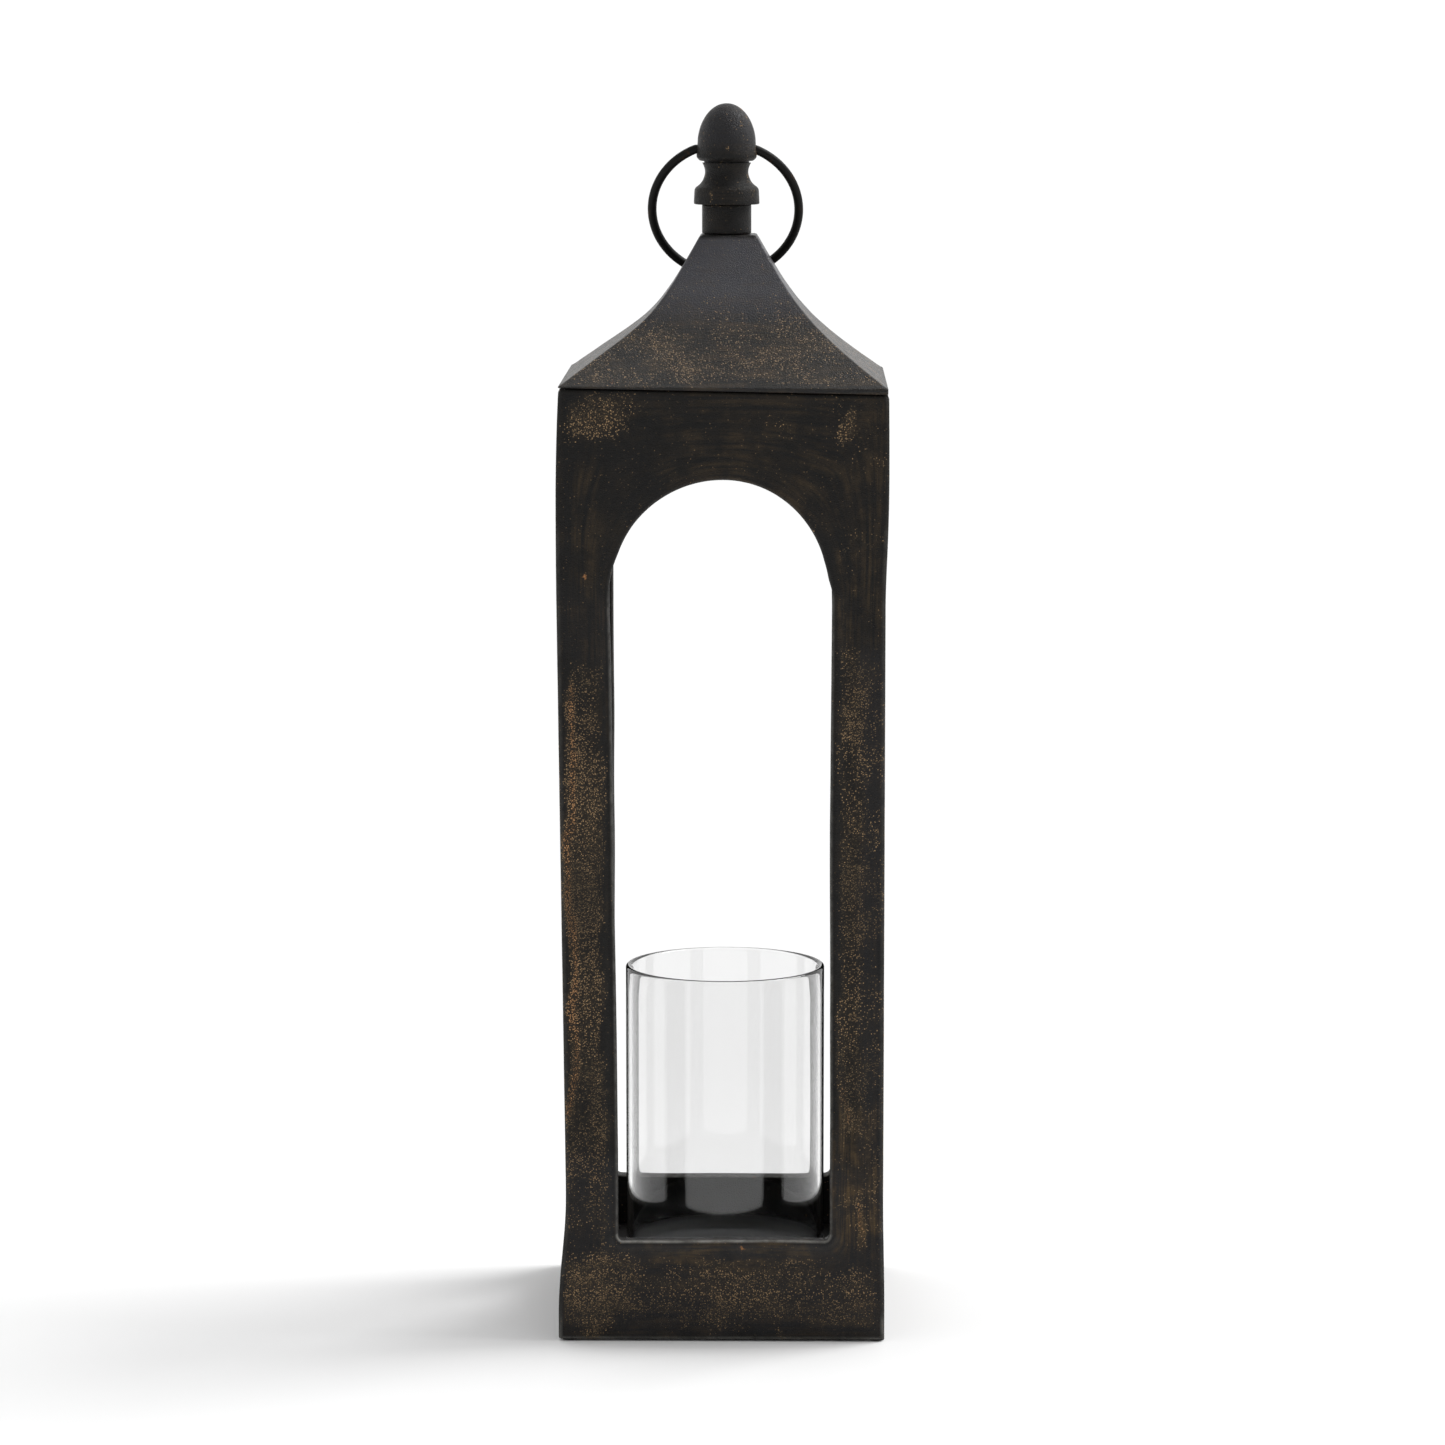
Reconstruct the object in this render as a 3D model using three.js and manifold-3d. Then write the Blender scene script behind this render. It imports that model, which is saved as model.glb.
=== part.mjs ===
// Candle lantern: four cast arch panels mitred into a square cage, a concave hip roof with a
// finial and a swinging carrying ring, a floor plate, and a loose clear glass hurricane.
// Millimetres. +Z is up, the front faces -Y, +X is to the right.
// The origin is the centre of the square base, on the surface that the lantern stands on.

import * as THREE from 'three';
import { mergeVertices } from 'three/addons/utils/BufferGeometryUtils.js';
import Module from 'manifold-3d';

const wasm = await Module();
wasm.setup();

// ---- Driving dimensions ----

const QUARTER_TURN = Math.PI / 2;
const TOUCH_GAP = 0.3;              // clearance between neighbouring pieces

const FOOT_HALF_WIDTH = 82.5;       // half of the 165 mm square foot
const FOOT_TOP_Z = 15;
const WAIST_HALF_WIDTH = 78.8;
const WAIST_LOW_Z = 74;
const WAIST_HIGH_Z = 78;
const SHOULDER_HALF_WIDTH = 80.6;   // the posts widen slowly up to here
const SHOULDER_Z = 372;
const HEAD_HALF_WIDTH = 81.65;      // widest line of the flared head
const HEAD_Z = 421;
const EAVE_HALF_WIDTH = 81;
const EAVE_Z = 477.5;
const PANEL_INNER_FACE = 71.8;      // flat inside face, from the lantern's axis
const PANEL_BOTTOM_Z = 1;

const ARCH_HALF_WIDTH = 54.5;
const REAR_ARCH_HALF_WIDTH = 57;    // the rear opening is a little wider than the others
const ARCH_SPRING_Z = 378.5;
const SILL_Z = 51;
const SILL_CORNER = 3.5;

const ROOF_TOP_HALF_WIDTH = 14;
const ROOF_TOP_Z = 550;
const ROOF_BOSS_Z = 540;            // underside of the solid block under the roof's flat top
const ROOF_BOSS_HALF_WIDTH = 15;
const ROOF_INNER_EAVE = 74.4;

const FLOOR_TOP_Z = 25;
const FLOOR_THICKNESS = 3;

const BRACKET_LEG = 24;
const BRACKET_THICKNESS = 2.5;
const SHELF_CHAMFER = 8;
const LOWER_LEG_DEPTH = 15.2;
const UPPER_LEG_DEPTH = 17.5;
const SCREW_FROM_AXIS = 58;         // sideways place of the screws that hold a bracket to a panel
const LOWER_SCREW_Z = 11.5;
const UPPER_SCREW_Z = 465.5;
const CORNER_SCREW = 59;            // x and y of the upright screws in the corners
const SCREW_RADIUS = 1.7;
const SCREW_HOLE_RADIUS = 2;
const SCREW_HEAD_RADIUS = 3.2;
const SCREW_HEAD_HEIGHT = 2;
const DRIVE_RADIUS = 1.3;
const DRIVE_DEPTH = 1.1;
const PANEL_HOLE_DEPTH = 6;
const ROOF_HOLE_TOP_Z = 487;
const ROOF_SCREW_BOSS = 11;

const PAD_RADIUS = 4.6;
const PAD_HEIGHT = 0.9;
const PAD_FROM_AXIS = 77.1;

const ROD_RADIUS = 4;               // M8 threaded rod
const ROD_HOLE_RADIUS = 4.3;
const ROD_BOTTOM_Z = 529;
const ROD_TOP_Z = 583.5;
const WASHER_RADIUS = 9;
const WASHER_THICKNESS = 1.6;
const NUT_ACROSS_FLATS = 13;
const NUT_HEIGHT = 6.5;

const NECK_RADIUS = 12.4;
const FINIAL_BOTTOM_Z = 565;
const COLLAR_RADIUS = 16.5;
const FINIAL_TOP_Z = 615.4;
const FINIAL_HOLE_TOP_Z = 584;

const RING_PIVOT_Z = 592.5;
const RING_WIRE_RADIUS = 2.15;
const RING_BORE_RADIUS = 2.45;
const RING_RADIUS = 37.05;          // centreline of the hoop
const RING_STUB_START = 4;
const RING_STUB_END = 14.3;
const RING_CROSSING = 14.8;          // where the hoop's circle meets the pivot line
const RING_LEAN = THREE.MathUtils.degToRad(25);

const GLASS_RADIUS = 50.8;          // a 4 in by 6 in cylinder
const GLASS_HEIGHT = 152.4;
const GLASS_WALL = 2.8;
const GLASS_BOTTOM = 5;
const GLASS_HEEL = 8;
const GLASS_INNER_HEEL = 6;

// ---- Materials ----

const castMetal = new THREE.MeshStandardMaterial({ color: 0x2a2724, roughness: 0.6, metalness: 0.4 });
const roofMetal = new THREE.MeshStandardMaterial({ color: 0x302d2b, roughness: 0.6, metalness: 0.4 });
const finialMetal = new THREE.MeshStandardMaterial({ color: 0x2b2b2a, roughness: 0.55, metalness: 0.4 });
const ringMetal = new THREE.MeshStandardMaterial({ color: 0x191815, roughness: 0.45, metalness: 0.6 });
const plateMetal = new THREE.MeshStandardMaterial({ color: 0x1f1d1c, roughness: 0.65, metalness: 0.4 });
const zincSteel = new THREE.MeshStandardMaterial({ color: 0x9a9c9e, roughness: 0.4, metalness: 0.9 });
const blackSteel = new THREE.MeshStandardMaterial({ color: 0x222222, roughness: 0.45, metalness: 0.8 });
const rubber = new THREE.MeshStandardMaterial({ color: 0x1a1a1a, roughness: 0.9, metalness: 0 });
const clearGlass = new THREE.MeshStandardMaterial({
  color: 0xe8eef0, roughness: 0.03, metalness: 0, transparent: true, opacity: 0.3,
});

// ---- Solids from closed geometry, and back ----

function toSolid(geometry) {
  const bare = geometry.clone();
  bare.deleteAttribute('normal');
  bare.deleteAttribute('uv');
  const merged = mergeVertices(bare, 1e-4);
  return new wasm.Manifold(new wasm.Mesh({
    numProp: 3,
    vertProperties: merged.attributes.position.array,
    triVerts: new Uint32Array(merged.index.array),
  }));
}

function toGeometry(solid) {
  const mesh = solid.getMesh();
  const geometry = new THREE.BufferGeometry();
  geometry.setAttribute('position', new THREE.BufferAttribute(mesh.vertProperties, 3));
  geometry.setIndex(new THREE.BufferAttribute(mesh.triVerts, 1));
  geometry.computeVertexNormals();
  return geometry;
}

function box(low, high) {
  const size = high.map((value, i) => value - low[i]);
  const middle = high.map((value, i) => (value + low[i]) / 2);
  return new THREE.BoxGeometry(...size).translate(...middle);
}

// A cylinder along Z, from one height to another.
function uprightCylinder(radius, fromZ, toZ, sides) {
  const cylinder = new THREE.CylinderGeometry(radius, radius, toZ - fromZ, sides);
  return cylinder.rotateX(QUARTER_TURN).translate(0, 0, (fromZ + toZ) / 2);
}

// A solid of revolution about Z from a profile of (radius, z) points.
function turned(points, sides, phiStart = 0) {
  return new THREE.LatheGeometry(points, sides, phiStart).rotateX(QUARTER_TURN);
}

// An outline drawn in (x, z), pushed along Y from one place to another.
function pushedAlongY(shape, fromY, toY, curveSegments) {
  const options = { depth: toY - fromY, bevelEnabled: false, curveSegments };
  return new THREE.ExtrudeGeometry(shape, options).rotateX(QUARTER_TURN).translate(0, toY, 0);
}

const point = (radius, z) => new THREE.Vector2(radius, z);

// ---- Panels ----

// Section of a panel: flat inside, and outside a plain foot, an S-curve to the waist,
// a post that widens slowly, and a flared head. x is the distance from the lantern's axis.
function panelSection() {
  const top = EAVE_Z - TOUCH_GAP;
  const section = new THREE.Shape();
  section.moveTo(PANEL_INNER_FACE, PANEL_BOTTOM_Z);
  section.lineTo(FOOT_HALF_WIDTH, PANEL_BOTTOM_Z);
  section.lineTo(FOOT_HALF_WIDTH, FOOT_TOP_Z);
  section.bezierCurveTo(FOOT_HALF_WIDTH, 36, WAIST_HALF_WIDTH, 52, WAIST_HALF_WIDTH, WAIST_LOW_Z);
  section.lineTo(WAIST_HALF_WIDTH, WAIST_HIGH_Z);
  section.lineTo(SHOULDER_HALF_WIDTH, SHOULDER_Z);
  section.bezierCurveTo(80.75, 388, HEAD_HALF_WIDTH, 405, HEAD_HALF_WIDTH, HEAD_Z);
  section.quadraticCurveTo(HEAD_HALF_WIDTH, 448, EAVE_HALF_WIDTH, top);
  section.lineTo(PANEL_INNER_FACE, top);
  section.closePath();
  return section;
}

// The opening: a sill with small corners, upright sides, and an arch with its top at one height
// whatever the width.
function archOutline(halfWidth) {
  const corner = halfWidth - SILL_CORNER;
  const springZ = ARCH_SPRING_Z + ARCH_HALF_WIDTH - halfWidth;
  const cornerZ = SILL_Z + SILL_CORNER;
  const arch = new THREE.Shape();
  arch.moveTo(-corner, SILL_Z);
  arch.lineTo(corner, SILL_Z);
  arch.quadraticCurveTo(halfWidth, SILL_Z, halfWidth, cornerZ);
  arch.lineTo(halfWidth, springZ);
  arch.absarc(0, springZ, halfWidth, 0, Math.PI, false);
  arch.lineTo(-halfWidth, cornerZ);
  arch.quadraticCurveTo(-halfWidth, SILL_Z, -corner, SILL_Z);
  return arch;
}

// A panel at the front. The others are turned about Z.
function panelGeometry(archHalfWidth) {
  const length = 2 * FOOT_HALF_WIDTH + 20;
  const strip = new THREE.ExtrudeGeometry(panelSection(), {
    depth: length, bevelEnabled: false, curveSegments: 7,
  });
  const outward = new THREE.Vector3(0, -1, 0);
  const upward = new THREE.Vector3(0, 0, 1);
  const along = new THREE.Vector3(-1, 0, 0);
  strip.translate(0, 0, -length / 2);
  strip.applyMatrix4(new THREE.Matrix4().makeBasis(outward, upward, along));

  const setback = TOUCH_GAP / 2 * Math.SQRT2;
  const reach = 100;
  const wedge = new THREE.Shape([
    point(0, -setback), point(-reach, -reach - setback), point(reach, -reach - setback),
  ]);
  const mitre = new THREE.ExtrudeGeometry(wedge, { depth: 500, bevelEnabled: false });
  const arch = pushedAlongY(archOutline(archHalfWidth), -90, -60, 10);

  let panel = toSolid(strip).intersect(toSolid(mitre)).subtract(toSolid(arch));
  for (const side of [-1, 1]) {
    for (const z of [LOWER_SCREW_Z, UPPER_SCREW_Z]) {
      const hole = uprightCylinder(SCREW_HOLE_RADIUS, PANEL_INNER_FACE - 1,
        PANEL_INNER_FACE + PANEL_HOLE_DEPTH, 10);
      hole.rotateX(QUARTER_TURN).translate(side * SCREW_FROM_AXIS, 0, z);
      panel = panel.subtract(toSolid(hole));
    }
  }
  return toGeometry(panel);
}

// ---- Brackets ----

// Three-way bracket in the front right corner: a flat shelf, and two legs that hang below it
// and lie against the panels.
function bracketGeometry(shelfLowZ, legDepth, legScrewZ) {
  const wall = PANEL_INNER_FACE - TOUCH_GAP;
  const near = wall - BRACKET_LEG;
  const shelfTopZ = shelfLowZ + BRACKET_THICKNESS;
  const legLowZ = shelfTopZ - legDepth;
  const cutCorner = near + SHELF_CHAMFER;
  const shelf = new THREE.Shape([
    point(near, -cutCorner), point(near, -wall), point(wall, -wall),
    point(wall, -near), point(cutCorner, -near),
  ]);
  const shelfPlate = new THREE.ExtrudeGeometry(shelf, { depth: BRACKET_THICKNESS, bevelEnabled: false });
  shelfPlate.translate(0, 0, shelfLowZ);
  const frontLeg = box([near, -wall, legLowZ], [wall, -wall + BRACKET_THICKNESS, shelfTopZ]);
  const sideLeg = box([wall - BRACKET_THICKNESS, -wall, legLowZ], [wall, -near, shelfTopZ]);
  const shelfHole = uprightCylinder(SCREW_HOLE_RADIUS, shelfLowZ - 1, shelfTopZ + 1, 10);
  shelfHole.translate(CORNER_SCREW, -CORNER_SCREW, 0);
  const frontHole = uprightCylinder(SCREW_HOLE_RADIUS, wall - 5, wall + 1, 10);
  frontHole.rotateX(QUARTER_TURN).translate(SCREW_FROM_AXIS, 0, legScrewZ);
  const sideHole = uprightCylinder(SCREW_HOLE_RADIUS, wall - 5, wall + 1, 10);
  sideHole.rotateY(QUARTER_TURN).translate(0, -SCREW_FROM_AXIS, legScrewZ);
  const solid = toSolid(shelfPlate)
    .add(toSolid(frontLeg))
    .add(toSolid(sideLeg))
    .subtract(toSolid(shelfHole))
    .subtract(toSolid(frontHole))
    .subtract(toSolid(sideHole));
  return toGeometry(solid);
}

// A pan-head screw along +Z: the head's underside is at 0 and the shank points up.
function screwGeometry(length) {
  const profile = [
    point(0, length),
    point(SCREW_RADIUS * 0.4, length),
    point(SCREW_RADIUS, length - 1.5),
    point(SCREW_RADIUS, 0),
    point(SCREW_HEAD_RADIUS, 0),
    point(SCREW_HEAD_RADIUS, -SCREW_HEAD_HEIGHT * 0.5),
    point(SCREW_HEAD_RADIUS * 0.7, -SCREW_HEAD_HEIGHT),
    point(DRIVE_RADIUS, -SCREW_HEAD_HEIGHT),
    point(DRIVE_RADIUS, -SCREW_HEAD_HEIGHT + DRIVE_DEPTH),
    point(0, -SCREW_HEAD_HEIGHT + DRIVE_DEPTH),
  ].reverse();
  return turned(profile, 8);
}

// ---- Roof, neck and finial ----

function roofOuterCurve() {
  return new THREE.CubicBezierCurve(
    point(EAVE_HALF_WIDTH, EAVE_Z), point(39, 509.2), point(37, 508.6),
    point(ROOF_TOP_HALF_WIDTH, ROOF_TOP_Z));
}

function roofInnerCurve() {
  return new THREE.CubicBezierCurve(
    point(ROOF_INNER_EAVE, EAVE_Z), point(36.4, 506.2), point(34, 506),
    point(ROOF_BOSS_HALF_WIDTH, ROOF_BOSS_Z));
}

// A square solid of revolution: four sides, so each half-width becomes a corner radius.
function square(points) {
  const corners = points.map((p) => point(p.x * Math.SQRT2, p.y));
  return turned(corners, 4, Math.PI / 4);
}

function roofGeometry() {
  const outer = roofOuterCurve().getPoints(14);
  const inner = roofInnerCurve().getPoints(10).reverse();
  const shell = square([point(0, ROOF_BOSS_Z), ...inner, ...outer, point(0, ROOF_TOP_Z)]);
  const block = toSolid(square([point(0, EAVE_Z), ...outer, point(0, ROOF_TOP_Z)]));
  let roof = toSolid(shell);
  const reach = ROOF_SCREW_BOSS / 2;
  for (const x of [-CORNER_SCREW, CORNER_SCREW]) {
    for (const y of [-CORNER_SCREW, CORNER_SCREW]) {
      const boss = box([x - reach, y - reach, EAVE_Z], [x + reach, y + reach, EAVE_Z + 20]);
      const hole = uprightCylinder(SCREW_HOLE_RADIUS, EAVE_Z - 5, ROOF_HOLE_TOP_Z, 10).translate(x, y, 0);
      roof = roof.add(toSolid(boss).intersect(block)).subtract(toSolid(hole));
    }
  }
  const rodHole = uprightCylinder(ROD_HOLE_RADIUS, ROOF_BOSS_Z - 5, ROOF_TOP_Z + 5, 20);
  return toGeometry(roof.subtract(toSolid(rodHole)));
}

function ringOfRevolution(innerRadius, outerRadius, lowZ, highZ, sides) {
  const profile = [
    point(innerRadius, lowZ), point(outerRadius, lowZ),
    point(outerRadius, highZ), point(innerRadius, highZ), point(innerRadius, lowZ),
  ];
  return turned(profile, sides);
}

// Collar, chamfer, cove and acorn, turned in one piece.
function finialOutline() {
  const outline = new THREE.Path();
  outline.moveTo(0, FINIAL_BOTTOM_Z);
  outline.lineTo(COLLAR_RADIUS, FINIAL_BOTTOM_Z);
  outline.lineTo(16.2, 572.3);
  outline.lineTo(15.1, 573.8);
  outline.quadraticCurveTo(12.5, 575.4, 11.6, 578);
  outline.bezierCurveTo(10.6, 580.2, 10.6, 582.6, 11.7, 584.8);
  outline.quadraticCurveTo(12.6, 586.8, 14.6, 588);
  outline.quadraticCurveTo(15.3, 588.8, 15.1, 590.4);
  outline.lineTo(14.6, 596);
  outline.bezierCurveTo(14.5, 605, 8.8, FINIAL_TOP_Z, 0, FINIAL_TOP_Z);
  return outline.getPoints(5);
}

function finialGeometry() {
  const rodHole = uprightCylinder(ROD_HOLE_RADIUS, FINIAL_BOTTOM_Z - 5, FINIAL_HOLE_TOP_Z, 20);
  const crossBore = uprightCylinder(RING_BORE_RADIUS, -30, 30, 16);
  crossBore.rotateY(QUARTER_TURN).translate(0, 0, RING_PIVOT_Z);
  const body = toSolid(turned(finialOutline(), 30));
  return toGeometry(body.subtract(toSolid(rodHole)).subtract(toSolid(crossBore)));
}

// ---- Carrying ring ----

// The hoop hangs in the XZ plane below its pivot line, which is the X axis. Its two ends turn
// inwards into straight stubs that lie in the finial's cross bore.
function carryRingGeometry() {
  const drop = Math.sqrt(RING_RADIUS ** 2 - RING_CROSSING ** 2);
  const crossing = Math.atan2(RING_CROSSING, drop);
  const blend = 0.09;                 // radians from the crossing to the end of the bend
  const arcSteps = 44;
  const half = [new THREE.Vector3(RING_STUB_START, 0, 0)];
  half.push(new THREE.Vector3(0.5 * (RING_STUB_START + RING_STUB_END), 0, 0));
  half.push(new THREE.Vector3(RING_STUB_END, 0, 0));
  for (let i = 0; i <= arcSteps / 2; i += 1) {
    const start = crossing + blend;
    const angle = start + (Math.PI - start) * i / (arcSteps / 2);
    half.push(new THREE.Vector3(RING_RADIUS * Math.sin(angle), 0, RING_RADIUS * Math.cos(angle) - drop));
  }
  const otherHalf = half.slice(0, -1).reverse().map((p) => new THREE.Vector3(-p.x, 0, p.z));
  const path = new THREE.CatmullRomCurve3([...half, ...otherHalf], false, 'centripetal');
  const wire = new THREE.Shape();
  wire.absarc(0, 0, RING_WIRE_RADIUS, 0, 2 * Math.PI, false);
  return new THREE.ExtrudeGeometry(wire, { steps: 72, extrudePath: path, curveSegments: 4 });
}

// ---- Glass ----

function hurricaneGeometry() {
  const inner = GLASS_RADIUS - GLASS_WALL;
  const rim = GLASS_WALL / 2;
  const outline = new THREE.Path();
  outline.moveTo(0, 0);
  outline.lineTo(GLASS_RADIUS - GLASS_HEEL, 0);
  outline.absarc(GLASS_RADIUS - GLASS_HEEL, GLASS_HEEL, GLASS_HEEL, -QUARTER_TURN, 0, false);
  outline.lineTo(GLASS_RADIUS, GLASS_HEIGHT - rim);
  outline.absarc(GLASS_RADIUS - rim, GLASS_HEIGHT - rim, rim, 0, Math.PI, false);
  outline.lineTo(inner, GLASS_BOTTOM + GLASS_INNER_HEEL);
  outline.absarc(inner - GLASS_INNER_HEEL, GLASS_BOTTOM + GLASS_INNER_HEEL, GLASS_INNER_HEEL,
    0, -QUARTER_TURN, true);
  outline.lineTo(0, GLASS_BOTTOM);
  return turned(outline.getPoints(3), 40);
}

// ---- Assembly ----

const lantern = new THREE.Group();

function place(parent, name, geometry, material) {
  const mesh = new THREE.Mesh(geometry, material);
  mesh.name = name;
  parent.add(mesh);
  return mesh;
}

// One group for each quarter turn about Z.
function quarterGroup(turn) {
  const group = new THREE.Group();
  group.rotation.z = turn * QUARTER_TURN;
  lantern.add(group);
  return group;
}

const SIDES = ['front', 'right', 'rear', 'left'];
const CORNERS = ['front_right', 'rear_right', 'rear_left', 'front_left'];

const plainPanel = panelGeometry(ARCH_HALF_WIDTH);
const rearPanel = panelGeometry(REAR_ARCH_HALF_WIDTH);
const lowerShelfZ = FLOOR_TOP_Z - FLOOR_THICKNESS - TOUCH_GAP - BRACKET_THICKNESS;
const upperShelfZ = EAVE_Z - TOUCH_GAP - BRACKET_THICKNESS;
const lowerBracket = bracketGeometry(lowerShelfZ, LOWER_LEG_DEPTH, LOWER_SCREW_Z);
const upperBracket = bracketGeometry(upperShelfZ, UPPER_LEG_DEPTH, UPPER_SCREW_Z);
const bracketScrew = screwGeometry(BRACKET_THICKNESS + PANEL_HOLE_DEPTH - 0.5);
const cornerScrew = screwGeometry(11);
const pad = uprightCylinder(PAD_RADIUS, 0, PAD_HEIGHT, 20);

SIDES.forEach((side, turn) => {
  const geometry = side === 'rear' ? rearPanel : plainPanel;
  place(quarterGroup(turn), `${side}_panel`, geometry, castMetal);
});

function placeBracket(group, name, level, geometry, screwZ) {
  place(group, `${level}_bracket_${name}`, geometry, plateMetal);
  const headPlane = PANEL_INNER_FACE - TOUCH_GAP - BRACKET_THICKNESS - 0.05;
  const toFront = place(group, `${level}_bracket_screw_${name}_a`, bracketScrew, zincSteel);
  toFront.rotation.x = QUARTER_TURN;
  toFront.position.set(SCREW_FROM_AXIS, -headPlane, screwZ);
  const toSide = place(group, `${level}_bracket_screw_${name}_b`, bracketScrew, zincSteel);
  toSide.rotation.y = QUARTER_TURN;
  toSide.position.set(headPlane, -SCREW_FROM_AXIS, screwZ);
}

CORNERS.forEach((name, turn) => {
  const group = quarterGroup(turn);
  placeBracket(group, name, 'lower', lowerBracket, LOWER_SCREW_Z);
  placeBracket(group, name, 'upper', upperBracket, UPPER_SCREW_Z);
  const floorScrew = place(group, `floor_screw_${name}`, cornerScrew, blackSteel);
  floorScrew.rotation.x = Math.PI;
  floorScrew.position.set(CORNER_SCREW, -CORNER_SCREW, FLOOR_TOP_Z + 0.05);
  const roofScrew = place(group, `roof_screw_${name}`, cornerScrew, zincSteel);
  roofScrew.position.set(CORNER_SCREW, -CORNER_SCREW, upperShelfZ - 0.05);
  place(group, `foot_pad_${name}`, pad, rubber).position.set(PAD_FROM_AXIS, -PAD_FROM_AXIS, 0);
});

function floorGeometry() {
  const reach = PANEL_INNER_FACE - TOUCH_GAP;
  let plate = toSolid(box([-reach, -reach, FLOOR_TOP_Z - FLOOR_THICKNESS], [reach, reach, FLOOR_TOP_Z]));
  for (const x of [-CORNER_SCREW, CORNER_SCREW]) {
    for (const y of [-CORNER_SCREW, CORNER_SCREW]) {
      const hole = uprightCylinder(SCREW_HOLE_RADIUS, FLOOR_TOP_Z - 10, FLOOR_TOP_Z + 5, 10);
      plate = plate.subtract(toSolid(hole.translate(x, y, 0)));
    }
  }
  return toGeometry(plate);
}

place(lantern, 'floor_plate', floorGeometry(), plateMetal);
place(lantern, 'roof_cap', roofGeometry(), roofMetal);

const neck = ringOfRevolution(ROD_HOLE_RADIUS, NECK_RADIUS, ROOF_TOP_Z + 0.2, FINIAL_BOTTOM_Z - 0.2, 32);
place(lantern, 'finial_neck', neck, finialMetal);
place(lantern, 'finial', finialGeometry(), finialMetal);
place(lantern, 'finial_rod', uprightCylinder(ROD_RADIUS, ROD_BOTTOM_Z, ROD_TOP_Z, 16), zincSteel);

const washerTop = ROOF_BOSS_Z - 0.2;
const washerLow = washerTop - WASHER_THICKNESS;
const washer = ringOfRevolution(ROD_HOLE_RADIUS, WASHER_RADIUS, washerLow, washerTop, 24);
place(lantern, 'rod_washer', washer, zincSteel);

const nutTop = washerLow - 0.2;
const nutBlock = uprightCylinder(NUT_ACROSS_FLATS / Math.sqrt(3), nutTop - NUT_HEIGHT, nutTop, 6);
const nutHole = uprightCylinder(ROD_HOLE_RADIUS, nutTop - NUT_HEIGHT - 1, nutTop + 1, 18);
place(lantern, 'rod_nut', toGeometry(toSolid(nutBlock).subtract(toSolid(nutHole))), zincSteel);

const ring = place(lantern, 'carry_ring', carryRingGeometry(), ringMetal);
ring.position.z = RING_PIVOT_Z;
ring.rotation.x = RING_LEAN;

place(lantern, 'glass_hurricane', hurricaneGeometry(), clearGlass).position.z = FLOOR_TOP_Z;

export default lantern;
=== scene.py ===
"""Candle lantern: fine meshes, materials, light and camera around the lantern's frame.

Lengths in the code are millimetres, turned into metres where a mesh is made.
"""
import math

import bmesh
import bpy
from mathutils import Matrix, Vector, noise


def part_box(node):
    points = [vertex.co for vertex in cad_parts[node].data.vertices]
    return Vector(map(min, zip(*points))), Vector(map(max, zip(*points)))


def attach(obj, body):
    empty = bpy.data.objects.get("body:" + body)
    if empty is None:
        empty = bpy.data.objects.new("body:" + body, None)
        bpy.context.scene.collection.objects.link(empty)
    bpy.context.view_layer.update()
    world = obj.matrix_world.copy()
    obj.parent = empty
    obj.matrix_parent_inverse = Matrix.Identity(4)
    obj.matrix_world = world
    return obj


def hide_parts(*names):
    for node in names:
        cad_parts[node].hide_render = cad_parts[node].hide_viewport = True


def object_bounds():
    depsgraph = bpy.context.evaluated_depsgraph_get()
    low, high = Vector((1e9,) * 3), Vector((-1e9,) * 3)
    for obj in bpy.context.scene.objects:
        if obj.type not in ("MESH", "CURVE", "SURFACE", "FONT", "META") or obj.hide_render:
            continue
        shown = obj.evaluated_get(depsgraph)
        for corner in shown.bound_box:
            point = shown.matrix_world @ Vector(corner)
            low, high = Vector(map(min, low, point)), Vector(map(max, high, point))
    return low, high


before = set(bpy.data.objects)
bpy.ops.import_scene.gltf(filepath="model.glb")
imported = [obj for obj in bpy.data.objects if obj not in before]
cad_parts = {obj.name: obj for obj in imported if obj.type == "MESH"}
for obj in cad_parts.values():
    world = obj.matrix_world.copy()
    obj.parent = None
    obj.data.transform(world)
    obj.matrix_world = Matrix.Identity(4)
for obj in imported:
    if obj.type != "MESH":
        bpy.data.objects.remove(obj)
cad_low, cad_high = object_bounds()

MM = 0.001
CORNERS = ("front_right", "rear_right", "rear_left", "front_left")

noise.seed_set(1)       # noise_vector would otherwise start from the clock


# ---------------------------------------------------------------- small maths

def mix(a, b, t):
    return a + (b - a) * t


def smooth_step(low, high, value):
    t = min(1.0, max(0.0, (value - low) / (high - low)))
    return t * t * (3 - 2 * t)


def bezier(points, count):
    """Points along a Bezier curve of two to four control points, both ends included."""
    made = []
    degree = len(points) - 1
    for i in range(count + 1):
        t = i / count
        x = y = 0.0
        for k, (px, py) in enumerate(points):
            weight = math.comb(degree, k) * (1 - t) ** (degree - k) * t ** k
            x += weight * px
            y += weight * py
        made.append((x, y))
    return made


def arc(centre, radius, start, end, count):
    """Points along an arc, angles in degrees, both ends included."""
    made = []
    for i in range(count + 1):
        angle = math.radians(mix(start, end, i / count))
        made.append((centre[0] + radius * math.cos(angle), centre[1] + radius * math.sin(angle)))
    return made


def spread(start, end, count):
    """Evenly spaced values from start up to, but without, end."""
    return [mix(start, end, i / count) for i in range(count)]


# ---------------------------------------------------------------- mesh helpers

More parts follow.
